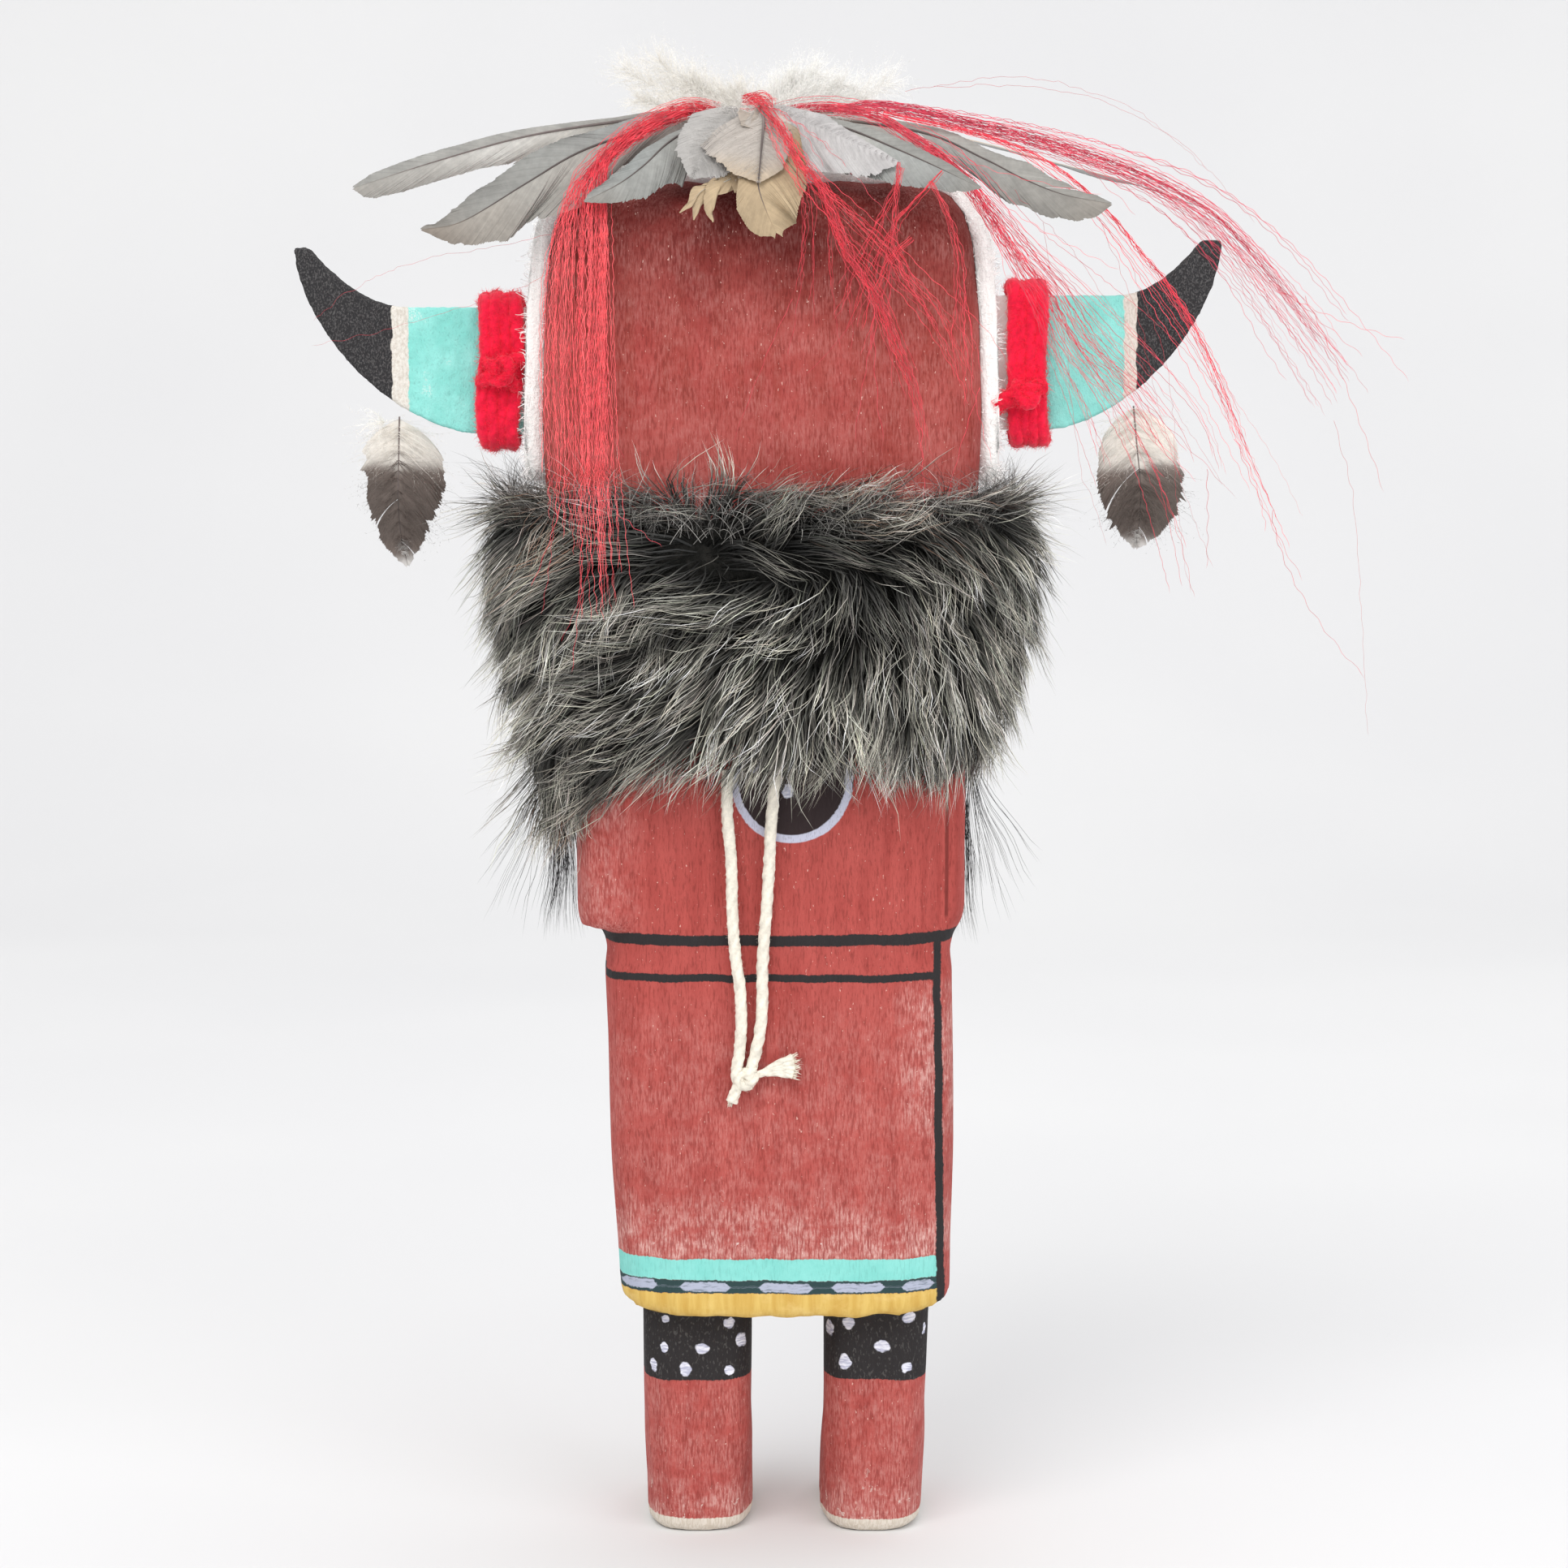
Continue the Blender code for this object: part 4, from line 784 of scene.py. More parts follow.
    def dab(spot, wide, high):
        """A brush dab: an uneven spot of its own width and height, in mm."""
        scale = (1 / (wide * MM), 0.13 / (wide * MM), 1 / (high * MM))
        node = paint.node("ShaderNodeVectorMath", operation="DISTANCE")
        paint.feed(node.inputs[0], paint.stretched(scale, uneven))
        node.inputs[1].default_value = tuple(place * size for place, size in zip(spot, scale))
        return paint.span(node.outputs["Value"], 1.14, 0.90)

    dots = [dab((DISC[0] - 0.0009, -0.0202, DISC[1] - 0.0017), 1.1, 1.4),
            dab((DISC[0] - 0.0075, -0.0202, DISC[1] + 0.0033), 1.1, 1.2)]
    for dot_x, dot_z, wide, high in (*LEFT_DOTS, *RIGHT_DOTS):
        dots.append(dab((dot_x, -0.0100, dot_z), wide, high))
        dots.append(dab((dot_x, 0.0100, dot_z - 0.0006), high, wide))
    pale = paint.blend(paint.span(bristle, 0.35, 0.62), (0.44, 0.45, 0.58), (0.78, 0.78, 0.86))
    colour = paint.blend(paint.most(*dots), colour, pale)
    sole = paint.span(zw, SOLE_RIM_Z + 0.0002, SOLE_RIM_Z)
    wood = paint.blend(paint.span(fibre, 0.4, 0.6), (0.62, 0.55, 0.46), BARE_WOOD)
    colour = paint.blend(sole, colour, wood)
    chips = paint.times(paint.span(paint.noise(420.0, 4.0, 0.75), 0.63, 0.68), feet)
    colour = paint.blend(paint.times(chips, 0.75), colour, (0.74, 0.62, 0.56))
    colour = paint.blend(dark, colour, BLACK)
    colour = mask_paint(paint, colour, (x, y, z), zw)

    paint.colour(colour)
    paint.rough(paint.span(fibre, 0.3, 0.7, 0.88, 0.74))
    pores = paint.times(fibre, 0.8)
    bumps = paint.plus(pores, paint.times(streak, 0.35))
    bumps = paint.minus(bumps, paint.times(groove, 1.2))
    paint.relief(bumps, 0.00020, 0.5)
    return paint.material


def mask_paint(paint, colour, place, zw):
    """A plain painted mask on the hidden front: a turquoise face, two dark slots and a short dark mouth."""
    x, y, z = place
    front = paint.times(paint.span(y, 0.020, 0.022), paint.span(z, 0.196, 0.200))
    face = paint.times(front, paint.span(z, 0.263, 0.2625))
    tone = paint.blend(paint.span(paint.noise(240.0), 0.3, 0.7), (0.085, 0.50, 0.43), TURQUOISE)
    colour = paint.blend(face, colour, tone)
    from_middle = paint.off(x, HEAD_X)
    eye = paint.off(from_middle, 0.0115)
    eye = paint.times(paint.span(eye, 0.0048, 0.0045), paint.span(zw, 0.2408, 0.2411),
                      paint.span(zw, 0.2454, 0.2451))
    mouth = paint.times(paint.span(from_middle, 0.0056, 0.0053), paint.span(zw, 0.2228, 0.2231),
                        paint.span(zw, 0.2264, 0.2261))
    marks = paint.times(front, paint.most(eye, mouth))
    return paint.blend(marks, colour, BLACK)


def make_figure():
    """The carved block with the knife's soft facets and raised wood fibres as real relief."""
    mesh = remeshed("figure", FIGURE_VOXEL, 4)
    points, normals = read_points(mesh)
    knife = 0.16 * MM * drift(points * (1.0, 1.0, 0.45), 11 * MM, 3)
    fibre = 0.035 * MM * drift(points * (1.0, 1.0, 0.05), 1.9 * MM, 4, waves=14)
    fibre += 0.05 * MM * drift(points * (1.0, 1.0, 0.06), 4.2 * MM, 5)
    on_sole = step(0.6 * MM, 1.6 * MM, points[:, 2])
    write_points(mesh, points + normals * ((knife + fibre) * on_sole)[:, None])
    put("carved_figure", mesh, wood_paint(), "painted_wood", "figure")


# Horns

def horn_paint(side, black_x, cream_x):
    """Turquoise, cream and charcoal, thick and matt over a rough ground. Both values are edges in x."""
    way = -1 if side == "left" else 1
    paint = Paint("horn_paint_" + side, roughness=0.92, specular=0.12)
    x = paint.times(paint.axes()[0], float(way))
    edge = paint.span(paint.noise(300.0), 0.25, 0.75, -0.0003, 0.0003)
    x = paint.plus(x, edge)
    grit = paint.grain((2100.0, 2100.0, 1300.0), 4.0, 0.7)
    weave = paint.grain((3600.0, 3600.0, 2200.0))
    cloud = paint.noise(160.0, 4.0)
    turquoise = paint.blend(paint.span(cloud, 0.3, 0.7), (0.25, 0.71, 0.64), (0.33, 0.80, 0.735))
    pits = paint.span(grit, 0.30, 0.46, 0.80, 1.0)
    turquoise = paint.blend(1.0, turquoise, pits, "MULTIPLY")
    scuff = paint.times(paint.span(cloud, 0.60, 0.70), paint.span(weave, 0.45, 0.6, 0.0, 0.75))
    turquoise = paint.blend(scuff, turquoise, (0.72, 0.88, 0.84))
    pale, deep = {
        "left": ((0.83, 0.80, 0.74), (0.66, 0.61, 0.54)), "right": ((0.78, 0.72, 0.66), (0.62, 0.55, 0.48)),
    }[side]
    cream = paint.blend(paint.span(grit, 0.35, 0.6), deep, pale)
    black = paint.blend(paint.span(weave, 0.46, 0.68, 0.0, 0.85), (0.036, 0.035, 0.037), (0.125, 0.12, 0.12))
    colour = paint.blend(paint.span(x, cream_x - 0.00015, cream_x + 0.00015), turquoise, cream)
    colour = paint.blend(paint.span(x, black_x - 0.00012, black_x + 0.00012), colour, black)
    colour = paint.blend(paint.span(x, 0.0535, 0.0530), colour, (0.86, 0.84, 0.81))
    paint.colour(colour)
    paint.relief(paint.plus(grit, paint.times(weave, 0.8)), 0.00034, 0.8)
    return paint.material


def make_horn(side, black_x, cream_x):
    mesh = remeshed("horn_" + side, HORN_VOXEL, 2)
    points, normals = read_points(mesh)
    rough = 0.05 * MM * drift(points, 0.9 * MM, 21, waves=16) + 0.07 * MM * drift(points, 3 * MM, 22)
    write_points(mesh, points + normals * rough[:, None])
    put("painted_horn_" + side, mesh, horn_paint(side, black_x, cream_x), "horn_paint", "horn_" + side)


# Yarn round the horns' roots

YARN_RED = np.array((0.92, 0.015, 0.058))


def make_yarn(side, material):
    """Turns of thick fuzzy woollen yarn round the horn's root, with a knot at the back and its cut ends."""
    low, high = (np.array(corner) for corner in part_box("yarn_" + side))
    low, high = low - np.array(SHIFT), high - np.array(SHIFT)
    middle = np.array(((low[0] + high[0]) / 2, 0.0, (low[2] + high[2]) / 2))
    half_z = (high[2] - low[2]) / 2
    rng = np.random.default_rng(71 if side == "left" else 72)
    batch = Batch()
    radius = 1.65 * MM
    turns = np.linspace(0, math.tau, 90)
    # How wide the turns lie and how far they are pushed along the horn, from the bottom to the top
    if side == "left":
        waist = ((-1.0, 0.66, -0.5), (-0.45, 0.92, -0.4), (0.2, 0.90, 0.5), (1.0, 0.97, 0.0))
    else:
        waist = ((-1.0, 0.70, 1.5), (-0.45, 0.72, 0.7), (0.1, 0.70, 0.5), (1.0, 0.90, 0.8))
    heights, widths, pushes = np.array(waist).T
    for number, offset in enumerate((-3.3, -1.15, 1.15, 3.3)):
        reach_z = half_z - radius * 0.7 + rng.uniform(-0.5, 0.4) * MM
        reach_y = 5.3 * MM + rng.uniform(-0.2, 0.4) * MM
        across = np.sign(np.cos(turns)) * np.abs(np.cos(turns)) ** 0.62
        up = np.sign(np.sin(turns)) * np.abs(np.sin(turns)) ** 0.42
        sway = (0.5 * np.sin(turns + number) + 0.30 * np.sin(3 * turns + 2 * number)) * MM
        x = middle[0] + offset * MM * np.interp(up, heights, widths) + sway * 0.6 + np.interp(up, heights, pushes) * MM
        path = np.stack((x, reach_y * across, middle[2] + reach_z * up), axis=1)
        path = even(path, 90)
        twisted(batch, path, radius, 3, 13 * MM, YARN_RED, groove=0.13, sides=16, seed=70 + number, dark=0.94)
        fuzz(batch, path, radius, WINDING_FUZZ, 2.0 * MM, 0.050 * MM, YARN_RED * 1.05, seed=90 + number, spread=0.42)
    back = -6.6 * MM
    knots = {
        "left": (
            ((-3.8, 0.4, -2.6), (-2.0, -1.8, -1.2), (0.8, -2.4, 0.6), (3.4, -1.2, 2.2), (4.6, 0.8, 2.0)),
            ((3.2, 0.6, -3.4), (1.8, -1.8, -1.6), (-0.6, -2.4, 0.4), (-3.2, -0.6, 1.6)),
            ((0.0, -1.6, 1.6), (1.8, -2.9, 1.4), (1.6, -2.9, -1.4), (-0.8, -2.2, -1.8), (-1.6, -1.4, 0.4)),
        ),
        "right": (
            ((-7.6, 0.2, -10.6), (-5.8, -1.0, -8.8), (-2.6, -2.4, -6.4), (1.4, -2.2, -5.2), (4.0, -0.6, -5.0)),
            ((-6.4, 0.2, -8.0), (-3.6, -1.6, -7.8), (0.4, -2.6, -6.4), (3.0, -1.0, -4.2)),
            ((-1.0, -1.4, -4.0), (-1.8, -2.8, -6.0), (0.4, -3.0, -8.2), (2.0, -2.2, -6.8), (1.2, -1.6, -4.4)),
        ),
    }
    for number, route in enumerate(knots[side]):
        points = [middle + np.array((x * MM, back + y * MM, z * MM)) for x, y, z in route]
        path = even(curve_through(points, 60), 40)
        twisted(batch, path, 0.88 * radius, 3, 11 * MM, YARN_RED, groove=0.13, sides=18, seed=110 + number, dark=0.94)
        fuzz(batch, path, radius, KNOT_FUZZ, 2.0 * MM, 0.050 * MM, YARN_RED * 1.05, seed=120 + number, spread=0.42)
    put("wool_" + side, batch.mesh("wool_" + side), material, "red_yarn", "yarn_" + side)


# Fur

def thickness(node, points, normals):
    """How far it is through the solid from points on its surface."""
    shell = solid(node)
    tree = BVHTree.FromBMesh(shell)
    shell.free()
    far = []
    for point, normal in zip(points, normals):
        hit = tree.ray_cast(Vector(point - normal * 0.1 * MM), Vector(-normal))
        far.append(hit[3] if hit[0] is not None else 0.5 * MM)
    return np.array(far)


def fur_body(name, node, shrink, material, slot, *nodes):
    """The hide under the fur: the solid drawn in along its own directions, never past a share of its thickness."""
    shell = solid(node)
    bmesh.ops.subdivide_edges(shell, edges=shell.edges, cuts=1)
    shell.normal_update()
    spots = np.array([vert.co for vert in shell.verts])
    outs = np.array([vert.normal for vert in shell.verts])
    drawn_in = np.minimum(shrink, HIDE_SHARE * thickness(node, spots, outs))
    for vert, depth in zip(shell.verts, drawn_in):
        vert.co -= vert.normal * float(depth)
    bmesh.ops.smooth_vert(shell, verts=shell.verts, factor=0.5, use_axis_x=True, use_axis_y=True, use_axis_z=True)
    mesh = bpy.data.meshes.new(name)
    shell.to_mesh(mesh)
    shell.free()
    mesh.shade_smooth()
    return put(name, mesh, material, slot, *nodes)


def hide_paint(name, dark, light):
    paint = Paint(name, roughness=0.95, specular=0.1)
    paint.colour(paint_cloud(paint, dark, light, 500.0))
    paint.relief(paint.noise(1400.0), 0.0006, 0.8)
    return paint.material


# How the ruff's hair lies across the back: a place (x, z in mm) and which way it is combed
COMBED = (
    (-54, 219, -0.75, -0.25), (-46, 208, -0.55, -0.80), (-57, 196, -0.80, -0.50), (-42, 192, -0.72, -0.62),
    (-31, 200, -0.50, -0.85), (-27, 215, -0.55, 0.15), (-8, 214, 0.80, 0.30), (8, 211, 0.80, -0.35),
    (14, 220, 0.25, 0.60), (23, 215, 0.30, -0.75), (35, 207, 0.30, -0.90), (46, 214, 0.65, -0.45),
    (47, 196, 0.25, -0.95), (31, 196, 0.00, -1.00), (4, 192, -0.92, -0.28), (-19, 190, -0.85, -0.48),
    (-34, 183, -0.88, -0.42), (-53, 181, -0.62, -0.75), (-42, 173, -0.80, -0.60), (-23, 175, -0.84, -0.50),
    (-8, 179, -0.62, -0.70), (2, 173, -0.15, -1.00), (12, 177, 0.22, -0.92), (19, 169, 0.10, -1.00),
    (31, 173, -0.08, -1.00), (42, 177, 0.20, -0.95), (-46, 159, -0.35, -0.90), (-27, 162, -0.48, -0.85),
)
# Heights across the back, as pairs of x and z in mm: the crease between two rows of locks, and how low hair may hang
CREASE = ((-62, 176), (-44, 179.2), (-28, 185.6), (-10.5, 190.4), (5.4, 189.6), (26, 187.2), (38, 184), (60, 182))
RUFF_HEM = ((-60, 152), (-50, 141), (-38, 139), (-31, 144), (-24, 153), (-15, 157.5), (40, 157.5), (55, 158))


def combed(points):
    """The direction in x and z at points on the back."""
    table = np.array(COMBED, float)
    off = (points[:, None, (0, 2)] / MM - table[None, :, :2]) / 8.5
    weight = np.exp(-(off ** 2).sum(-1)) + 1e-6 / (1 + (off ** 2).sum(-1)) ** 2
    way = (weight[..., None] * table[None, :, 2:]).sum(1) / weight.sum(1, keepdims=True)
    return np.stack((way[:, 0], np.zeros(len(way)), way[:, 1]), axis=1)


def height_at(table, x):
    places, heights = np.array(table).T * MM
    return np.interp(x, places, heights)


def soft_spot(line, x, z, wide, high):
    """How much of an oval patch with a soft edge each point lies in. Its middle and its reach are in mm."""
    return bump(line[..., 0], x * MM, wide * MM) * bump(line[..., 2], z * MM, high * MM)


def outside_figure(clear):
    """Keeps the points of a worn piece that face away from the wood."""
    shell = solid("figure")
    tree = BVHTree.FromBMesh(shell)
    shell.free()

    def keep(points):
        near = np.array([tree.find_nearest(Vector(point))[3] for point in points])
        return near > clear
    return keep


def make_ruff():
    """Long dark pile with pale tips, in overlapping locks whose hairs share a course and draw together."""
    hide = hide_paint("ruff_hide", (0.010, 0.010, 0.009), (0.022, 0.021, 0.019))
    fur_body("ruff_hide", "neck_ruff", RUFF_HIDE_DEPTH, hide, "ruff_fur", "neck_ruff")
    material = fibre_paint("ruff_fur", roughness=0.50, specular=0.40, mottle=0.22, pitch=600.0)
    keep = outside_figure(2.0 * MM)
    all_points, all_normals = scatter("neck_ruff", RUFF_HAIRS, 201, keep)
    lock_points, lock_normals = scatter("neck_ruff", RUFF_LOCKS, 202, keep)
    tree = KDTree(len(lock_points))
    for index, point in enumerate(lock_points):
        tree.insert(point, index)
    tree.balance()
    room_in = HIDE_SHARE * thickness("neck_ruff", all_points, all_normals)
    lock = np.array([tree.find(point)[1] for point in all_points])
    rng = np.random.default_rng(203)

    def lay(points, normals, twist, rise):
        """The flow direction, tangent to the surface, with each lock's own turn."""
        back = step(0.010, -0.012, points[:, 1])[:, None]
        outward = unit(normals * (1, 1, 0))
        plain = np.array((0.0, 0.0, -1.0)) + outward * 0.1
        way = mix(plain, combed(points), back)
        way = way + twist[:, None] * np.cross(normals, way)
        way -= normals * (way * normals).sum(1, keepdims=True)
        at_side = step(0.042, 0.056, np.abs(points[:, 0] - HEAD_X))[:, None]
        return unit(way) + normals * rise[:, None] * (1 - 0.75 * at_side)

    count = len(lock_points)
    lock_way = lay(lock_points, lock_normals, rng.normal(0, 0.42, count), rng.uniform(0.02, 0.42, count))
    lock_bend = rng.normal(0, 1.0, (count, 3)) * (1.0, 0.8, 0.7)
    lock_phase, lock_pitch = rng.uniform(0, math.tau, count), rng.uniform(7.0, 12.0, count) * MM
    lock_long = rng.uniform(0.72, 1.22, count)
    lock_tone = np.exp(rng.normal(0, 0.38, count)) * (1 + 0.35 * drift(lock_points, 13 * MM, 221))
    # Name, share of the hairs, points a hair, half its width, its length in mm, how much it gathers, two colours
    layers = (
        ("ruff_pile", (0.0, 0.36), 4, 0.180, 13.0, 0.45, (0.012, 0.012, 0.011), (0.060, 0.058, 0.050)),
        ("ruff_locks", (0.36, 0.62), 7, 0.120, 18.0, 0.80, (0.014, 0.014, 0.013), (0.46, 0.445, 0.395)),
        ("ruff_guard", (0.62, 0.88), 7, 0.078, 20.0, 0.66, (0.016, 0.016, 0.015), (0.68, 0.66, 0.60)),
    )
    for name, part, points_each, half, length, gather, root_tone, tip_tone in layers:
        part = slice(*(int(edge * len(all_points)) for edge in part))
        points, normals, owner, inside = all_points[part], all_normals[part], lock[part], room_in[part]
        number = len(points)
        back = step(0.005, -0.010, points[:, 1])
        at_side = step(0.040, 0.055, np.abs(points[:, 0] - HEAD_X))
        crease = bump(points[:, 2], height_at(CREASE, points[:, 0]), 4.0 * MM) * back
        deep = np.minimum(7.0 * MM + 2.5 * MM * crease + rng.uniform(0, 1.0, number) * MM, inside)[:, None]
        root = points - normals * deep
        way = lay(points, normals, rng.normal(0, 0.24, number), rng.uniform(0.0, 0.30, number))
        t = np.linspace(0, 1, points_each)[None, :, None]
        long = length * MM * rng.uniform(0.72, 1.15, number) * lock_long[owner] * (1 - 0.28 * at_side)
        tip_z = points[:, 2] + way[:, 2] * long * 0.85
        limit = np.where(points[:, 1] < 0.01, height_at(RUFF_HEM, points[:, 0]), 0.152)
        limit = limit + rng.uniform(-3.5, 3.5, number) * MM
        room = np.clip((points[:, 2] - limit) / np.maximum(points[:, 2] - tip_z, 1e-6), 0.45, 1.0)
        long = np.where(tip_z < limit, long * room, long)
        high = 0.2215 + rng.uniform(-2.0, 2.5, number) * MM
        long = np.where(tip_z > high, long * np.clip((high - points[:, 2]) / np.maximum(
            tip_z - points[:, 2], 1e-6), 0.25, 1.0), long)
        lift = ((0.74 - 0.20 * at_side) * deep[:, 0])[:, None, None] * (1 - (1 - t) ** 1.7)
        line = root[:, None] + normals[:, None] * lift + way[:, None] * (long[:, None, None] * t ** 1.2)
        lock_root = lock_points[owner] - lock_normals[owner] * 2.2 * MM
        lock_line = lock_root[:, None] + lock_way[owner][:, None] * ((long * 1.02)[:, None, None] * t ** 1.2)
        line = mix(line, lock_line, gather * t ** 1.35)
        bend = 0.13 * lock_bend[owner][:, None] + 0.07 * rng.normal(0, 1.0, (number, 1, 3))
        line = line + bend * t ** 2 * long[:, None, None]
        across = unit(np.cross(normals, way))
        angle = math.tau * t[..., 0] * (long / lock_pitch[owner])[:, None] + (
            lock_phase[owner] + rng.normal(0, 0.7, number))[:, None]
        swing = 0.75 * MM * t[..., 0] * rng.uniform(0.4, 1.2, (number, 1))
        line = line + across[:, None] * (np.sin(angle) * swing)[..., None] + normals[:, None] * (
            np.cos(angle) * swing * 0.5)[..., None]
        line[..., 2] -= (t[..., 0] ** 2) * 1.2 * MM
        side = unit(np.cross(np.gradient(line, axis=1), normals[:, None] + rng.normal(0, 0.5, (number, 1, 3))))
        width = half * MM * np.interp(np.linspace(0, 1, points_each), (0, 0.5, 1.0), (1.0, 0.9, 0.25))[None]
        width = width * rng.uniform(0.7, 1.25, (number, 1))
        # Painted shade along the crease, where the upper row of locks hangs over the lower
        shadow = bump(line[..., 2], height_at(CREASE, line[..., 0]) - 0.4 * MM, 1.7 * MM)
        dim = 1 - 0.85 * shadow * back[:, None] * step(0.040, 0.030, line[..., 0])
        # Painted shade in two dark patches, and a painted pool of light in a pale one
        patch = (soft_spot(line, 4, 205, 26, 7) + 0.6 * soft_spot(line, -22, 171, 9, 3)) * back[:, None]
        dim = dim * (1 - 0.80 * np.clip(patch, 0, 1))
        dim = dim * (1 + 1.6 * soft_spot(line, 2, 174, 26, 10) * back[:, None])
        tone = np.clip(rng.lognormal(0.0, 0.50, number), 0.2, 2.6) * np.clip(lock_tone[owner], 0.25, 2.4)
        reach = step(0.34, 1.0, t[..., 0]) ** 1.25
        warm = np.array((1.0, 0.985, 0.94)) * (1 + rng.normal(0, 0.03, (number, 1, 3)))
        tint = mix(np.array(root_tone), np.array(tip_tone), reach[..., None]) * warm
        tint = tint * mix(1.0, tone[:, None], reach)[..., None] * dim[..., None]
        brown_at = bump(points[:, 0], -34 * MM, 10 * MM) * step(0.162, 0.150, points[:, 2]) * back
        brown_at = brown_at + 0.8 * step(0.207, 0.214, points[:, 2]) * back * (
            bump(points[:, 0], -38 * MM, 8 * MM) + bump(points[:, 0], 10 * MM, 12 * MM))
        brown = ((rng.random(number) < 0.5 * brown_at))[:, None, None] * step(0.5, 1.0, t)
        tint = mix(tint, np.array((0.40, 0.21, 0.13)) * dim[..., None], brown)
        batch = Batch()
        batch.ribbons(line, np.broadcast_to(width, line.shape[:2]), side, tint)
        if name == "ruff_guard":
            add_wisps(batch, rng)
        put(name, batch.mesh(name), material, "ruff_fur")


def add_wisps(batch, rng):
    """Loose pale hairs that stand up along the ruff's top edge, over the head's back and at the corners."""
    count = LOOSE_HAIRS
    turn = rng.uniform(0, math.tau, count)
    turn = np.where(rng.random(count) < 0.45, rng.choice((math.pi, math.tau), count) + rng.normal(0, 0.5, count), turn)
    turn = np.where(rng.random(count) < 0.35, -math.pi / 2 + rng.normal(0, 0.75, count), turn)
    corner = np.abs(np.cos(turn))
    x = HEAD_X + 51.5 * MM * np.sign(np.cos(turn)) * corner ** 0.8
    y = 35.5 * MM * np.sign(np.sin(turn)) * np.abs(np.sin(turn)) ** 0.8
    root = np.stack((x, y, rng.uniform(206, 215, count) * MM), axis=1)
    lean = np.stack((0.10 * np.cos(turn) + rng.normal(0, 0.32, count),
                     0.15 * np.sin(turn) + rng.normal(-0.05, 0.22, count), rng.uniform(0.5, 1.0, count)), axis=1)
    t = np.linspace(0, 1, 6)[None, :, None]
    long = (rng.uniform(4.5, 9.0, (count, 1, 1)) + 3.0 * corner[:, None, None]) * MM
    line = root[:, None] + unit(lean)[:, None] * long * t
    curl = rng.normal(0, 0.42, (count, 1, 3)) * np.array((1.0, 0.5, 0.25))
    line = line + curl * long * t ** 2.2
    line[..., 2] -= (t[..., 0] ** 3) * rng.uniform(0, 4, (count, 1)) * MM
    side = random_side(line, rng)
    width = np.broadcast_to(0.060 * MM * np.linspace(1.0, 0.3, 6)[None], line.shape[:2])
    tone = rng.choice((0.05, 0.16, 0.40, 0.62), count, p=(0.25, 0.30, 0.28, 0.17))[:, None, None]
    tint = tone * np.array((1.0, 0.96, 0.90)) * mix(0.5, 1.0, t)
    batch.ribbons(line, width, side, tint)


def make_fleece():
    """Short curly white pile over the head's sides, top and front."""
    hide = hide_paint("fleece_hide", (0.90, 0.885, 0.86), (0.95, 0.94, 0.92))
    fur_body("fleece_hide", "head_fur", FLEECE_HIDE_DEPTH, hide, "fleece", "head_fur")
    points, normals = scatter("head_fur", FLEECE_HAIRS, 301, outside_figure(0.25 * MM))
    rng = np.random.default_rng(302)
    number = len(points)
    t = np.linspace(0, 1, 3)[None, :, None]
    swirl = np.stack([drift(points, 6 * MM, 310 + k) for k in range(3)], axis=1)
    way = unit(normals * 0.60 + swirl * 0.7 + rng.normal(0, 0.45, (number, 3)))
    long = rng.uniform(1.2, 2.8, (number, 1, 1)) * MM
    line = points[:, None] - normals[:, None] * 0.4 * MM + way[:, None] * long * t
    curl = rng.normal(0, 0.7, (number, 1, 3)) * long * np.sin(t * math.pi) * 0.5
    line = line + curl
    facing = normals[:, None] * 0.5 + np.array((0.0, -0.7, 0.5)) + rng.normal(0, 0.4, (number, 1, 3))
    side = unit(np.cross(np.gradient(line, axis=1), facing))
    width = np.broadcast_to(0.100 * MM * np.linspace(1.0, 0.4, 3)[None], line.shape[:2])
    tone = rng.uniform(0.94, 1.0, (number, 1, 1)) * np.array((1.0, 0.99, 0.975))
    batch = Batch()
    batch.ribbons(line, width, side, tone * mix(0.92, 1.0, t))
    material = fibre_paint("fleece", roughness=0.9, specular=0.1, sheen=0.6, mottle=0.03)
    # Painted light: the pile and its hide glow a little of their own, which keeps the white fleece bright where little
    # lamp light reaches it
    for each in (material, hide):
        shader = next(node for node in each.node_tree.nodes if node.type == "BSDF_PRINCIPLED")
        shader.inputs["Emission Color"].default_value = (1.0, 0.985, 0.97, 1.0)
        shader.inputs["Emission Strength"].default_value = FLEECE_GLOW
    put("fleece_pile", batch.mesh("fleece_pile"), material, "fleece")


# Feathers

CREAM = np.array((0.43, 0.325, 0.205))
SHAFT_DARK = np.array((0.115, 0.095, 0.090))
SHAFT_PALE = np.array((0.66, 0.60, 0.50))
OUTWARD = (0.0, -0.93, 0.36)


def grey(level, warm=0.0):
    """A soft grey. warm above 0 turns it towards a pinkish brown."""
    return level * np.array((0.96 + 0.8 * warm, 1.0, 0.97 - 0.5 * warm))


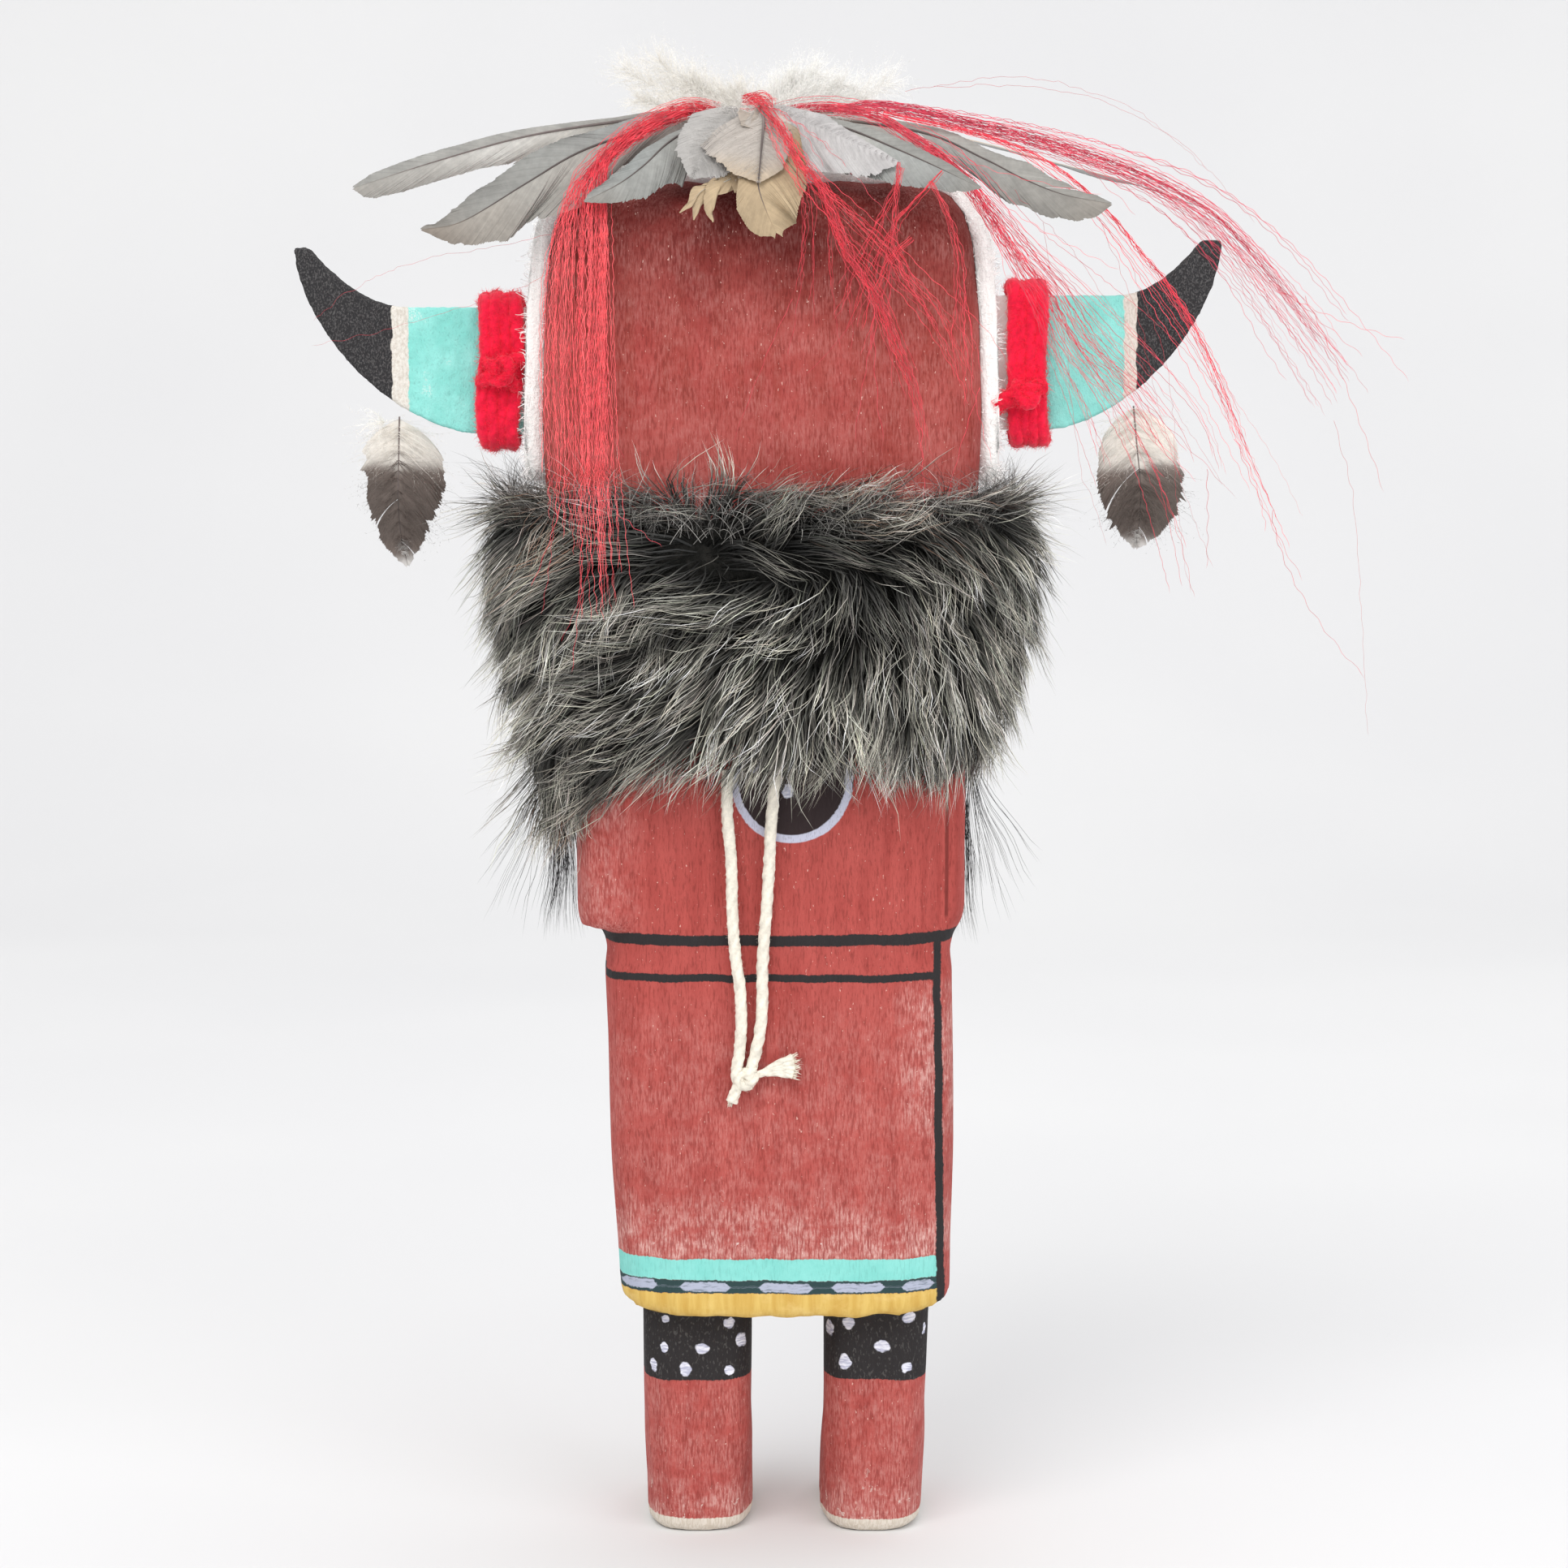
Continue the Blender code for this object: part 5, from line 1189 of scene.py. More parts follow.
# Each feather: where its quill stands round the tie, its spine from the tie, how far the vane reaches on both
# sides at shares of its length (side a is the cross product of the facing and the spine's own way), and its
# colours. All lengths in mm
FEATHERS = {
    "feather_far_left": {
        "root": (-4.0, -1.0), "facing": (0.0, -0.90, -0.45),
        "spine": ((-17.6, -4.0, -0.7), (-29.0, -6.0, -2.0), (-47.7, -10.0, -5.3), (-66.4, -13.0, -10.7),
                  (-81.8, -15.0, -15.8)),
        "a": ((0, 2.2), (0.1, 4.8), (0.21, 6.2), (0.34, 6.8), (0.47, 6.5), (0.6, 5.4), (0.73, 4.6), (0.86, 4.2),
              (0.94, 3.9), (0.98, 2.6), (1, 0.7)),
        "b": ((0, 0.8), (0.3, 1.0), (0.6, 1.7), (0.8, 2.0), (0.94, 1.6), (1, 0.4)),
        "tones": (grey(.68, .12), grey(.70, .12), grey(.70, .08), grey(.62, .06), grey(.38, .08), grey(.34, .10)),
        "narrow": (grey(.48, .06), grey(.40, .06), grey(.34, .06), grey(.30, .06)),
        "shaft": SHAFT_DARK * 1.5, "cuts": 0, "angle": 34,
    },
    "feather_low_left": {
        "root": (-4.0, -3.4), "facing": OUTWARD,
        "spine": ((-17.6, -6.0, -2.0), (-29.7, -11.0, -5.8), (-38.1, -13.0, -9.3), (-47.4, -16.0, -15.1),
                  (-59.7, -19.0, -22.6), (-67.9, -20.0, -24.3)),
        "a": ((0, 2), (0.15, 6), (0.34, 10.2), (0.48, 10.9), (0.64, 10.3), (0.76, 8.2), (0.87, 5.4), (0.94, 2.4),
              (1, 0.2)),
        "b": ((0, 1), (0.34, 3.3), (0.48, 3.8), (0.64, 4.4), (0.76, 4.5), (0.87, 3.8), (0.94, 2.7), (1, 0.3)),
        "tones": (grey(.38, .10), grey(.37, .10), grey(.36, .10), grey(.36, .10), grey(.31, .16), grey(.22, .26)),
        "narrow": (grey(.36), grey(.33), grey(.30, .04), grey(.27, .06), grey(.24, .14)),
        "shaft": SHAFT_DARK * 0.9, "cuts": 0, "angle": 38,
    },
    "feather_back_left": {
        "root": (-3.0, -6.0), "facing": OUTWARD,
        "spine": ((-9.9, -10.0, -1.6), (-15.2, -15.0, -4.6), (-19.1, -19.0, -7.5), (-23.3, -23.0, -11.8),
                  (-28.2, -26.0, -15.6), (-34.9, -28.0, -19.1)),
        "a": ((0, 2), (0.17, 7), (0.33, 10.2), (0.46, 10), (0.62, 7.4), (0.79, 4.3), (0.93, 1.8), (1, 0.2)),
        "b": ((0, 0.8), (0.33, 1.2), (0.46, 1.5), (0.62, 2.7), (0.79, 2.9), (0.93, 1.7), (1, 0.2)),
        "tones": (grey(.40, .12), grey(.38, .08), grey(.33, .04), grey(.29, .04), grey(.27, .12)),
        "narrow": (grey(.36, .12), grey(.30, .04), grey(.29, .0), grey(.27, .06)),
        "shaft": SHAFT_DARK, "cuts": 0, "angle": 42,
    },
    "feather_scrap": {
        "root": (-1.0, -8.0), "facing": (0.0, -1.0, 0.0),
        "spine": ((-1.0, -20.0, -9.7), (-4.7, -25.0, -13.7), (-8.4, -27.0, -15.7), (-11.5, -28.0, -16.9),
                  (-13.6, -29.0, -19.1), (-16.1, -29.0, -21.4)),
        "a": ((0, 1.2), (0.35, 1.8), (0.6, 1.8), (0.8, 1.3), (1, 0.1)),
        "b": ((0, 1.0), (0.35, 1.6), (0.6, 1.5), (0.8, 1.1), (1, 0.1)),
        "tones": (CREAM * 0.95, CREAM * 1.05, CREAM * 1.1), "narrow": (CREAM * 0.95, CREAM, CREAM * 1.05),
        "shaft": SHAFT_PALE * 0.7, "cuts": 0, "angle": 30,
    },
    "feather_spoon": {
        "root": (1.0, -8.0), "facing": (0.0, -1.0, 0.1),
        "spine": ((0.8, -14.0, -1.3), (0.2, -21.0, -6.7), (-0.6, -26.0, -11.9), (-0.5, -29.0, -16.4),
                  (1.0, -30.0, -21.0), (3.0, -30.3, -25.5)),
        "a": ((0, 1.5), (0.15, 4.5), (0.3, 6.8), (0.5, 8.8), (0.68, 9.6), (0.85, 9.2), (0.94, 7.4), (0.98, 5.0),
              (1, 1.6)),
        "b": ((0, 1.5), (0.3, 3.0), (0.5, 2.9), (0.68, 3.5), (0.85, 4.3), (0.94, 4.0), (0.98, 3.0), (1, 1.2)),
        "tones": (grey(.42, .2), grey(.40, .24), CREAM * 1.02, CREAM, CREAM, CREAM * 1.02),
        "narrow": (grey(.40, .2), grey(.37, .24), CREAM * .94, CREAM * .96, CREAM * .98),
        "shaft": SHAFT_DARK * 1.2, "cuts": 0, "angle": 46,
    },
    "feather_back_right": {
        "root": (3.0, -6.0), "facing": OUTWARD,
        "spine": ((6.4, -9.0, -1.6), (16.4, -16.0, -3.9), (26.9, -22.0, -8.5), (35.4, -25.0, -12.5),
                  (43.4, -27.0, -16.4)),
        "a": ((0, 0.8), (0.3, 1.5), (0.6, 2.3), (0.85, 1.7), (1, 0.2)),
        "b": ((0, 2.5), (0.14, 7), (0.28, 9.3), (0.42, 10), (0.56, 8.8), (0.68, 6.9), (0.79, 5), (0.89, 3.4),
              (0.95, 2.0), (1, 0.2)),
        "tones": (grey(.54, .14), grey(.56, .10), grey(.52, .06), grey(.40, .02), grey(.33, .02), grey(.29, .10)),
        "narrow": (grey(.42, .1), grey(.36, .06), grey(.30, .06), grey(.27, .08)),
        "shaft": SHAFT_DARK, "cuts": 0, "angle": 44,
    },
    "feather_long_right": {
        "root": (4.0, -3.4), "facing": OUTWARD,
        "spine": ((10.2, -5.0, -1.2), (32.3, -8.0, -4.3), (44.8, -11.5, -9.8), (52.2, -13.5, -13.7),
                  (60.3, -15.0, -17.0), (70.1, -16.2, -19.0)),
        "a": ((0, 1), (0.4, 1.7), (0.58, 2.1), (0.70, 3.4), (0.84, 3.4), (0.92, 2.1), (1, 0.2)),
        "b": ((0, 2), (0.2, 5.7), (0.4, 7.2), (0.58, 7.1), (0.70, 5.7), (0.84, 4.6), (0.92, 3.7), (0.97, 2.5),
              (1, 0.4)),
        "tones": (grey(.48, .10), grey(.45, .08), grey(.32, .05), grey(.28, .06), grey(.25, .10), grey(.25, .16)),
        "narrow": (grey(.44, .06), grey(.40, .08), grey(.31, .08), grey(.26, .10)),
        "shaft": SHAFT_DARK, "cuts": 1, "angle": 36,
    },
    "feather_edge_right": {
        "root": (4.4, -0.8), "facing": (0.0, -0.08, 1.0),
        "spine": ((11.0, 2.0, 0.4), (26.0, 3.0, -1.6), (45.6, 4.5, -5.8), (60.0, 5.0, -9.6), (74.6, 5.5, -13.3),
                  (88.8, 5.5, -18.1)),
        "a": ((0, 1.0), (0.3, 2.4), (0.7, 2.6), (0.9, 1.8), (1, 0.2)),
        "b": ((0, 2.0), (0.3, 5.2), (0.7, 5.6), (0.9, 3.6), (1, 0.2)),
        "tones": (grey(.44), grey(.34), grey(.24), grey(.22)),
        "narrow": (grey(.46, .1), grey(.38), grey(.28), grey(.24)),
        "shaft": SHAFT_PALE * 0.95, "cuts": 1, "angle": 30,
    },
}


def vane(batch, path, facing, reaches, tones, rng, angle=38, cuts=2, ragged=0.022, droop=0.10, number=BARBS,
         curve=0.30, open_by=0.06, first=0.0, flatten=0.42):
    """A closed vane: barbs side by side that leave the shaft at an angle and end on the feather's outline."""
    along, side, out = frames(path, np.asarray(facing, float))
    total = float(np.linalg.norm(np.diff(path, axis=0), axis=1).sum())
    share = np.linspace(first, 0.995, number)
    at = share * (len(path) - 1)
    low = np.minimum(at.astype(int), len(path) - 2)
    start = mix(path[low], path[low + 1], (at - low)[:, None])
    fore, face = along[low], out[low]
    rows = np.arange(number)
    t = np.linspace(0, 1, 9)[None, :, None]
    for sign, reach, shades in zip((1.0, -1.0), reaches, tones):
        across = side[low] * sign
        slant = np.radians(angle) * (1.0 - flatten * share)
        mean = slant * (1 - 0.5 * curve)
        near, far_end = share.copy(), np.full(number, 1.0)
        spots, sizes = np.array(reach).T
        for _ in range(24):
            middle = (near + far_end) / 2
            short = middle - share - np.interp(middle, spots, sizes) * MM / (np.tan(mean) * total) < 0
            near, far_end = np.where(short, middle, near), np.where(short, far_end, middle)
        width = np.interp(near, spots, sizes) * MM
        far = np.hypot(width, (near - share) * total)
        knots = np.sort(rng.choice(number, number // 7, replace=False))
        far = far * (1 + ragged * np.interp(rows, knots, rng.normal(0, 1, len(knots))))
        far = far * (1 + 0.35 * ragged * rng.normal(0, 1, number))
        pull = np.zeros(number)
        edges = [0, number]
        for middle in rng.uniform(0.25, 0.86, cuts):
            off = rows - int(middle * number) + 0.5
            pull -= np.sign(off) * np.exp(-np.abs(off) / rng.uniform(5, 14)) * rng.uniform(0.4, 1.1) * open_by
            edges.append(int(middle * number))
        turn = (slant + rng.normal(0, 0.004, number))[:, None, None] * (1 - curve * t) + pull[:, None, None] * t
        go = np.cos(turn) * fore[:, None] + np.sin(turn) * across[:, None]
        line = start[:, None] + np.concatenate((np.zeros((number, 1, 3)), go[:, :-1].cumsum(1)), axis=1) * (
            far[:, None, None] / 8)
        bow = -droop * t ** 2 * width[:, None, None] + rng.normal(0, 0.018, (number, 1, 1)) * MM * t
        line = line + face[:, None] * bow
        place = mix(share[:, None], near[:, None], t[..., 0])
        tone = np.stack([values_at([shade[k] for shade in shades], place) for k in range(3)], axis=-1)
        barb = np.interp(rows, rows[::3], rng.normal(0, 0.040, len(rows[::3]))) + rng.normal(0, 0.025, number)
        tint = tone * (1 + barb)[:, None, None] * mix(1.04, 0.93, t ** 2)
        tint = tint * (1 + 0.05 * drift(line, 9 * MM, int(rng.integers(999)))[..., None])
        edges = sorted(set(edges))
        for a, b in zip(edges, edges[1:]):
            if b - a > 1:
                batch.grid(line[a:b], tint[a:b])


def downy(batch, root, way, long, count, tint, rng, spread=0.5, curl=0.6, barbule=0.9, half=0.035, points=7,
          side_hairs=26):
    """Soft curling barbs with fine side hairs, fanned round a direction."""
    root = np.broadcast_to(root, (count, 3))
    go = unit(np.asarray(way, float) + rng.normal(0, spread, (count, 3)))
    long = long * rng.uniform(0.45, 1.15, (count, 1, 1))
    t = np.linspace(0, 1, points)[None, :, None]
    bend = rng.normal(0, curl, (count, 1, 3))
    wave = rng.normal(0, 0.10, (count, 1, 3)) * np.sin(t * rng.uniform(3, 8, (count, 1, 1)))
    line = root[:, None] + (go[:, None] * t + bend * t ** 2 * 0.45 + wave * t) * long
    flat = random_side(line, rng)
    tone = tint * rng.uniform(0.90, 1.08, (count, 1, 1))
    width = half * MM * np.linspace(1.0, 0.35, points)[None] * np.ones((count, 1))
    batch.ribbons(line, width, flat, np.broadcast_to(tone, line.shape))
    dense = curve_rows(line, side_hairs + 1)
    along = unit(np.gradient(dense, axis=1))
    hairs = dense[:, 1:].reshape(-1, 3)
    fore = along[:, 1:].reshape(-1, 3)
    ways = unit(np.cross(fore, rng.normal(size=fore.shape)) + fore * 0.8)
    size = barbule * MM * rng.uniform(0.4, 1.3, (len(hairs), 1, 1))
    small = hairs[:, None] + ways[:, None] * size * np.linspace(0, 1, 2)[None, :, None]
    flat = unit(np.cross(ways, rng.normal(size=ways.shape)))[:, None] * np.ones((1, 2, 1))
    tone = np.repeat(tone[:, 0], side_hairs, axis=0)[:, None] * np.ones((1, 2, 1))
    width = 0.032 * MM * np.ones((len(hairs), 2))
    batch.ribbons(small, width, flat, tone)


def curve_rows(lines, count):
    """More points on each of many lines."""
    at = np.linspace(0, lines.shape[1] - 1, count)
    low = np.minimum(at.astype(int), lines.shape[1] - 2)
    part = (at - low)[None, :, None]
    return mix(lines[:, low], lines[:, low + 1], part)


def feather_path(name, count=90):
    data = FEATHERS[name]
    root = np.array((*data["root"], 0.0)) * MM
    foot = TIE + root - np.array((0.0, 0.0, 14.2 * MM))
    neck = TIE + root - np.array((0.0, 0.0, 3.5 * MM))
    spine = [TIE + np.array(point) * MM for point in data["spine"]]
    whole = even(curve_through([foot, neck, *spine], 300), 240)
    start = int(np.argmin(np.linalg.norm(whole - (neck + spine[0]) / 2, axis=1)))
    return whole, even(whole[start:], count)


# How bright a feather is against the tones of the table
LEVELS = {
    "feather_far_left": 1.12, "feather_low_left": 0.87, "feather_back_left": 0.92, "feather_back_right": 0.83,
    "feather_long_right": 0.92,
}


def make_feathers(material):
    for order, name in enumerate(FEATHERS):
        data = FEATHERS[name]
        rng = np.random.default_rng(400 + order)
        whole, blade = feather_path(name)
        wide_first = max(size for _, size in data["a"]) >= max(size for _, size in data["b"])
        tones = (data["tones"], data["narrow"]) if wide_first else (data["narrow"], data["tones"])
        batch = Batch()
        tones = tuple(tuple(tone * LEVELS.get(name, 1.0) for tone in side) for side in tones)
        short = name in ("feather_scrap", "feather_spoon")
        vane(batch, blade, data["facing"], (data["a"], data["b"]), tones, rng, data["angle"], data["cuts"], droop=0.12,
             ragged=0.008 if short else 0.022, flatten=0.15 if name == "feather_spoon" else 0.42, open_by=0.045,
             number=SCRAP_BARBS if name == "feather_scrap" else BARBS)
        if name == "feather_scrap":
            for spots, wide in (
                (((-4.7, -25.0, -13.7), (-7.8, -27.0, -15.6), (-9.4, -28.5, -18.4), (-9.9, -29.0, -20.6),
                  (-9.5, -29.0, -23.2)), 1.5),
                (((-9.6, -27.6, -16.4), (-11.6, -28.4, -18.6), (-12.7, -29.0, -20.8), (-13.3, -29.2, -22.8)), 0.9),
                (((-0.6, -20.0, -9.0), (-3.2, -24.0, -12.0), (-4.6, -26.0, -14.8), (-5.2, -27.0, -17.4)), 1.9),
            ):
                torn = even(curve_from(TIE, spots, 60), 40)
                reach = ((0, 0.5 * wide), (0.4, wide), (0.75, 0.8 * wide), (1, 0.1))
                vane(batch, torn, data["facing"], (reach, reach), tones, rng, 30, 0, number=120, droop=0.2)
        share = np.linspace(0, 1, len(whole))
        thick = np.interp(share, (0, 0.25, 0.6, 1), (0.55, 0.40, 0.22, 0.05)) * MM
        if short:
            thick = np.minimum(thick, np.interp(share, (0, 0.7, 0.9, 1), (0.2, 0.17, 0.07, 0.02)) * MM)
        tone = mix(SHAFT_PALE, data["shaft"], step(0.12, 0.40, share)[:, None])
        tone = mix(tone, np.array(data["tones"][-1]) * 0.9, step(0.80, 0.98, share)[:, None])
        batch.tubes(whole[None], thick[None], tone[None], reference=data["facing"], sides=6)
        if not short:
            for place in (0.02, 0.06, 0.11):
                spot = blade[int(place * len(blade))]
                downy(batch, spot, (0.0, -0.35, -0.85), 6.0 * MM, 12, grey(.48, .1), rng, spread=0.5)
        slot = "cream_feather" if short else "grey_feather"
        put(name + "_vane", batch.mesh(name), material, slot, name)


def make_down(material):
    """White plumes that stand up behind the tie, and the pale soft feathers round the quills."""
    whites = {"left": np.array((0.90, 0.875, 0.825)), "right": np.array((0.97, 0.955, 0.92))}
    plumes = {
        "left": (
            ((-2, 2, -1), (-10, 5, 1.6), (-18, 7, 4.4), (-25, 8, 7.6), (-28, 9, 9.6)),
            ((-2, 2, -1), (-8, 4, 2.4), (-14, 6, 5.4), (-19, 8, 9.0), (-21, 8, 11.2)),
            ((-3, 1, -1), (-12, 3, 0.0), (-19, 5, 1.4), (-25, 6, 3.2)),
            ((-1, 3, -1), (-6, 5, 1.5), (-11, 6, 4.2), (-14, 7, 6.8)),
            ((0, 3, -1), (-2, 5, 1.5), (-4, 6, 3.0), (-5, 7, 4.6)),
        ),
        "right": (
            ((1, 2, -1), (3, 5, 2.2), (7, 7, 5.6), (11, 8, 8.6)),
            ((2, 2, -1), (8, 4, 1.4), (16, 6, 3.8), (22, 8, 5.4), (26, 9, 7.0)),
            ((0, 3, -1), (2, 5, 2.2), (4, 7, 4.8), (6, 8, 7.2)),
            ((2, 1, -1), (8, 3, 0.2), (15, 5, 1.8), (21, 6, 3.0)),
            ((1, 2, -1), (6, 4, 1.8), (11, 6, 4.2), (16, 7, 6.4)),
        ),
    }
    for order, (side, spines) in enumerate(plumes.items()):
        white = whites[side]
        rng = np.random.default_rng(450 + order)
        batch = Batch()
        for number, spine in enumerate(spines):
            path = even(curve_from(TIE, spine, 60), 40)
            shaft = np.interp(np.linspace(0, 1, 40), (0, 1), (0.14, 0.03)) * MM
            batch.tubes(path[None], shaft[None], np.tile(white, (1, 40, 1)), sides=4)
            along, across, _ = frames(path, np.array((0.0, -1.0, 0.15)))
            long = 8.6 if number < 2 else 7.0
            for index in range(1, 40):
                share = index / 39
                size = long * (0.60 + 0.40 * math.sin(math.pi * min(1.0, 0.2 + 0.7 * share))) * MM
                for sign in (-1.0, 1.0):
                    away = along[index] + across[index] * sign * mix(1.1, 0.50, share)
                    downy(batch, path[index], away, size, 6, white, rng, spread=0.24, curl=0.30, barbule=0.85,
                          half=0.030, points=5, side_hairs=15)
        put("plume_" + side, batch.mesh("plume_" + side), material, "white_down", "down_" + side)
    rng = np.random.default_rng(460)
    batch = Batch()
    soft = np.array((0.455, 0.415, 0.380))
    # Three soft fans over the quills: spine, reach on both sides, colour, the barbs' angle and how cream their ends are
    hub = (
        (((-5, -11.6, 0.6), (-8.2, -17.4, -3.6), (-11.2, -23.4, -9.0), (-13.6, -28.0, -14.6)),
         ((0, 3.0), (0.3, 6.5), (0.6, 7.5), (0.85, 6.0), (1, 0.5)),
         ((0, 3.0), (0.4, 6.0), (0.8, 5.0), (1, 0.5)), soft * (0.90, 0.95, 1.0), 46, 0.0),
        (((1, -10.5, 0.4), (8.0, -15.6, -2.6), (15.4, -20.6, -6.0), (27.0, -25.0, -11.4)),
         ((0, 1.5), (0.4, 3.0), (1, 0.4)),
         ((0, 5.0), (0.25, 8.0), (0.55, 8.4), (0.85, 6.0), (1, 0.5)), soft * (1.10, 1.17, 1.27), 40, 0.0),
        (((0, -12.2, 0.6), (0.4, -18.2, -3.4), (0.0, -24.6, -9.0), (-0.5, -29.8, -15.4)),
         ((0, 3.0), (0.3, 5.0), (0.6, 5.6), (0.85, 4.6), (1, 0.4)),
         ((0, 8.0), (0.12, 13.0), (0.35, 14.5), (0.58, 13.0), (0.8, 9.5), (0.93, 5.5), (1, 0.4)), soft, 60, 0.6),
    )
    for spine, upper, lower, tone, angle, creamy in hub:
        path = even(curve_from(TIE, spine, 60), 50)
        facing = np.array((0.0, -0.96, 0.28))
        warm = mix(tone, CREAM * 1.15, creamy)
        vane(batch, path, facing, (upper, lower), ((tone, tone, tone, warm),) * 2, rng, angle=angle, cuts=0,
             ragged=0.035, number=HUB_BARBS, droop=0.05, curve=0.45, open_by=0.0, flatten=0.08)
        along, across, _ = frames(path, facing)
        for index in range(1, 50, 2):
            share = index / 49
            for sign, reach in ((1.0, upper), (-1.0, lower)):
                wide = float(np.interp(min(1.0, share + 0.10), *np.array(reach).T)) * MM
                away = along[index] * 0.9 + across[index] * sign + np.array((0.0, -0.03, 0.0))
                downy(batch, path[index] + np.array((0.0, -0.4, 0.2)) * MM, away, 1.15 * wide, 4, tone * 1.04, rng,
                      spread=0.08, curl=0.20, barbule=0.45, half=0.030, points=5, side_hairs=9)
    # The dark quill that lies over the last fan
    quill = np.linspace(0, 1, 50)
    thick = np.interp(quill, (0, 0.5, 1), (0.34, 0.24, 0.12)) * MM
    batch.tubes((path + np.array((0.0, -0.5, 0.15)) * MM)[None], thick[None],
                mix(SHAFT_DARK * 2.0, SHAFT_DARK, step(0.2, 0.6, quill)[None, :, None]), sides=6)
    fluff = mix(whites["right"], np.array((0.50, 0.45, 0.42)), 0.35)
    for x, y, z in ((-12, -8, -1), (-7, -10, 0), (-2, -11, 0.4), (3, -11, 0), (8, -9, -1), (-8, -6, 1), (0, -8, 1.6),
                    (9, -6, 0.6), (-3, -4, 2.0), (5, -4, 2.0), (-1, -7, 1.2), (2, -9, 1.0), (-16, -6, -1), (14, -6, -1),
                    (-4, -13, 0.8), (-7, -13, -0.6), (3.5, -13, 0.2), (6.5, -12.5, -0.8)):
        spot = TIE + np.array((x, y, z)) * MM
        downy(batch, spot, (0.07 * x, -0.40, -0.05), 6.4 * MM, 16, fluff, rng,
              spread=0.6, half=0.032, points=5, side_hairs=12)
    put("quill_fluff", batch.mesh("quill_fluff"), material, "white_down")


# Pendant feathers

def make_pendant(side, material):
    """A soft body feather: cream at the quill, dark brown below, pale and ragged at the tip."""
    left = side == "left"
    if left:
        spots = ((-79.0, 231.0), (-79.3, 222.0), (-79.4, 213.0), (-78.8, 206.0), (-77.6, 200.4))
        reaches = (((0, 4.0), (0.06, 6.0), (0.16, 7.8), (0.28, 8.8), (0.42, 9.0), (0.6, 8.0), (0.74, 6.2),
                    (0.88, 4.0), (1, 0.6)),
                   ((0, 4.0), (0.06, 5.6), (0.16, 7.0), (0.28, 7.2), (0.42, 7.0), (0.6, 6.0), (0.74, 4.6),
                    (0.88, 3.0), (1, 0.6)))
    else:
        spots = ((71.8, 233.2), (72.6, 225.0), (73.4, 216.5), (73.2, 210.0), (72.5, 204.0))
        reaches = (((0, 3.6), (0.08, 5.6), (0.2, 7.2), (0.34, 8.0), (0.5, 8.6), (0.66, 8.4), (0.8, 6.8),
                    (0.92, 3.8), (1, 0.6)),
                   ((0, 3.6), (0.08, 5.4), (0.2, 7.0), (0.34, 8.0), (0.5, 8.6), (0.66, 8.4), (0.8, 6.8),
                    (0.92, 3.8), (1, 0.6)))
    rng = np.random.default_rng(500 if left else 501)
    y = (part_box("pendant_" + side)[0][1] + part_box("pendant_" + side)[1][1]) / 2 - SHIFT[1]
    points = [np.array((x * MM, y + 0.4 * MM * math.sin(2 * k), z * MM)) for k, (x, z) in enumerate(spots)]
    path = even(curve_through(points, 80), 60)
    cream, brown, pale = np.array((0.80, 0.76, 0.70)), np.array((0.118, 0.094, 0.082)), np.array((0.60, 0.58, 0.56))
    if left:
        tones = (cream, cream, cream, cream * 0.9, brown * 1.4, brown, brown, brown, brown, brown * 1.4, pale)
    else:
        tones = (cream, cream, cream, cream, cream * 0.9, brown * 1.5, brown, brown, brown * 0.95, brown * 1.2, pale)
    batch = Batch()
    vane(batch, path, (0.0, -1.0, 0.0), reaches, (tones, tones), rng, angle=70, cuts=1, ragged=0.05,
         number=PENDANT_BARBS, droop=0.13, curve=0.60, open_by=0.07, first=0.02, flatten=0.40)
    quill = np.linspace(0, 1, 60)
    batch.tubes(path[None], np.interp(quill, (0, 1), (0.20, 0.04))[None] * MM,
                mix(SHAFT_DARK * 2.2, SHAFT_DARK * 0.8, step(0.3, 0.6, quill)[None, :, None]),
                reference=(0.0, 1.0, 0.0), sides=5)
    along, across, _ = frames(path, np.array((0.0, -1.0, 0.0)))
    for share in np.linspace(0.02, 0.97, 46):
        index = int(share * 59)
        spot = path[index] + np.array((0.0, rng.choice((-0.35, 0.35)) * MM, 0.0))
        tint = np.array([np.interp(share + 0.10, np.linspace(0, 1, len(tones)), [tone[k] for tone in tones])
                         for k in range(3)])
        for sign, reach in zip((1.0, -1.0), reaches):
            wide = float(np.interp(share + 0.12, *np.array(reach).T)) * 1.38 * MM
            away = along[index] * mix(0.50, 1.3, share) + across[index] * sign
            downy(batch, spot, away, wide, 7, tint * 1.08, rng, spread=0.22, curl=0.34, barbule=0.75, half=0.034,
                  points=5, side_hairs=12)
    if left:
        downy(batch, path[2] + np.array((-3.0, 0.0, 0.0)) * MM, (-0.8, 0.0, -0.1), 7.0 * MM, 30, cream * 1.35, rng,
              spread=0.4)
    put("soft_feather_" + side, batch.mesh("soft_feather_" + side), material, "pendant_feather", "pendant_" + side)


# Horsehair

CRIMSON = np.array((0.84, 0.055, 0.090))
HAIR_TONES = {
    "hair_left": (1.0, 0.110, 0.125), "hair_middle": (0.74, 0.030, 0.052), "hair_right": (0.76, 0.040, 0.080),
    "hair_outer": (0.70, 0.034, 0.085), "hair_side": (0.84, 0.040, 0.075),
}

# The first places of the routes that cross the crown to the middle, and of those that go to the right
TO_MIDDLE = ((-5.6, -8, 291.6), (-3.6, -14, 291.4), (-0.6, -21.5, 288.0))
TO_RIGHT = ((-2.0, -7, 292.0), (3.0, -10, 292.8), (9.0, -11, 293.0), (15.6, -12.6, 291.8), (20.4, -15.6, 289.9),
            (24.8, -18.6, 287.0), (30.8, -20, 283.7))

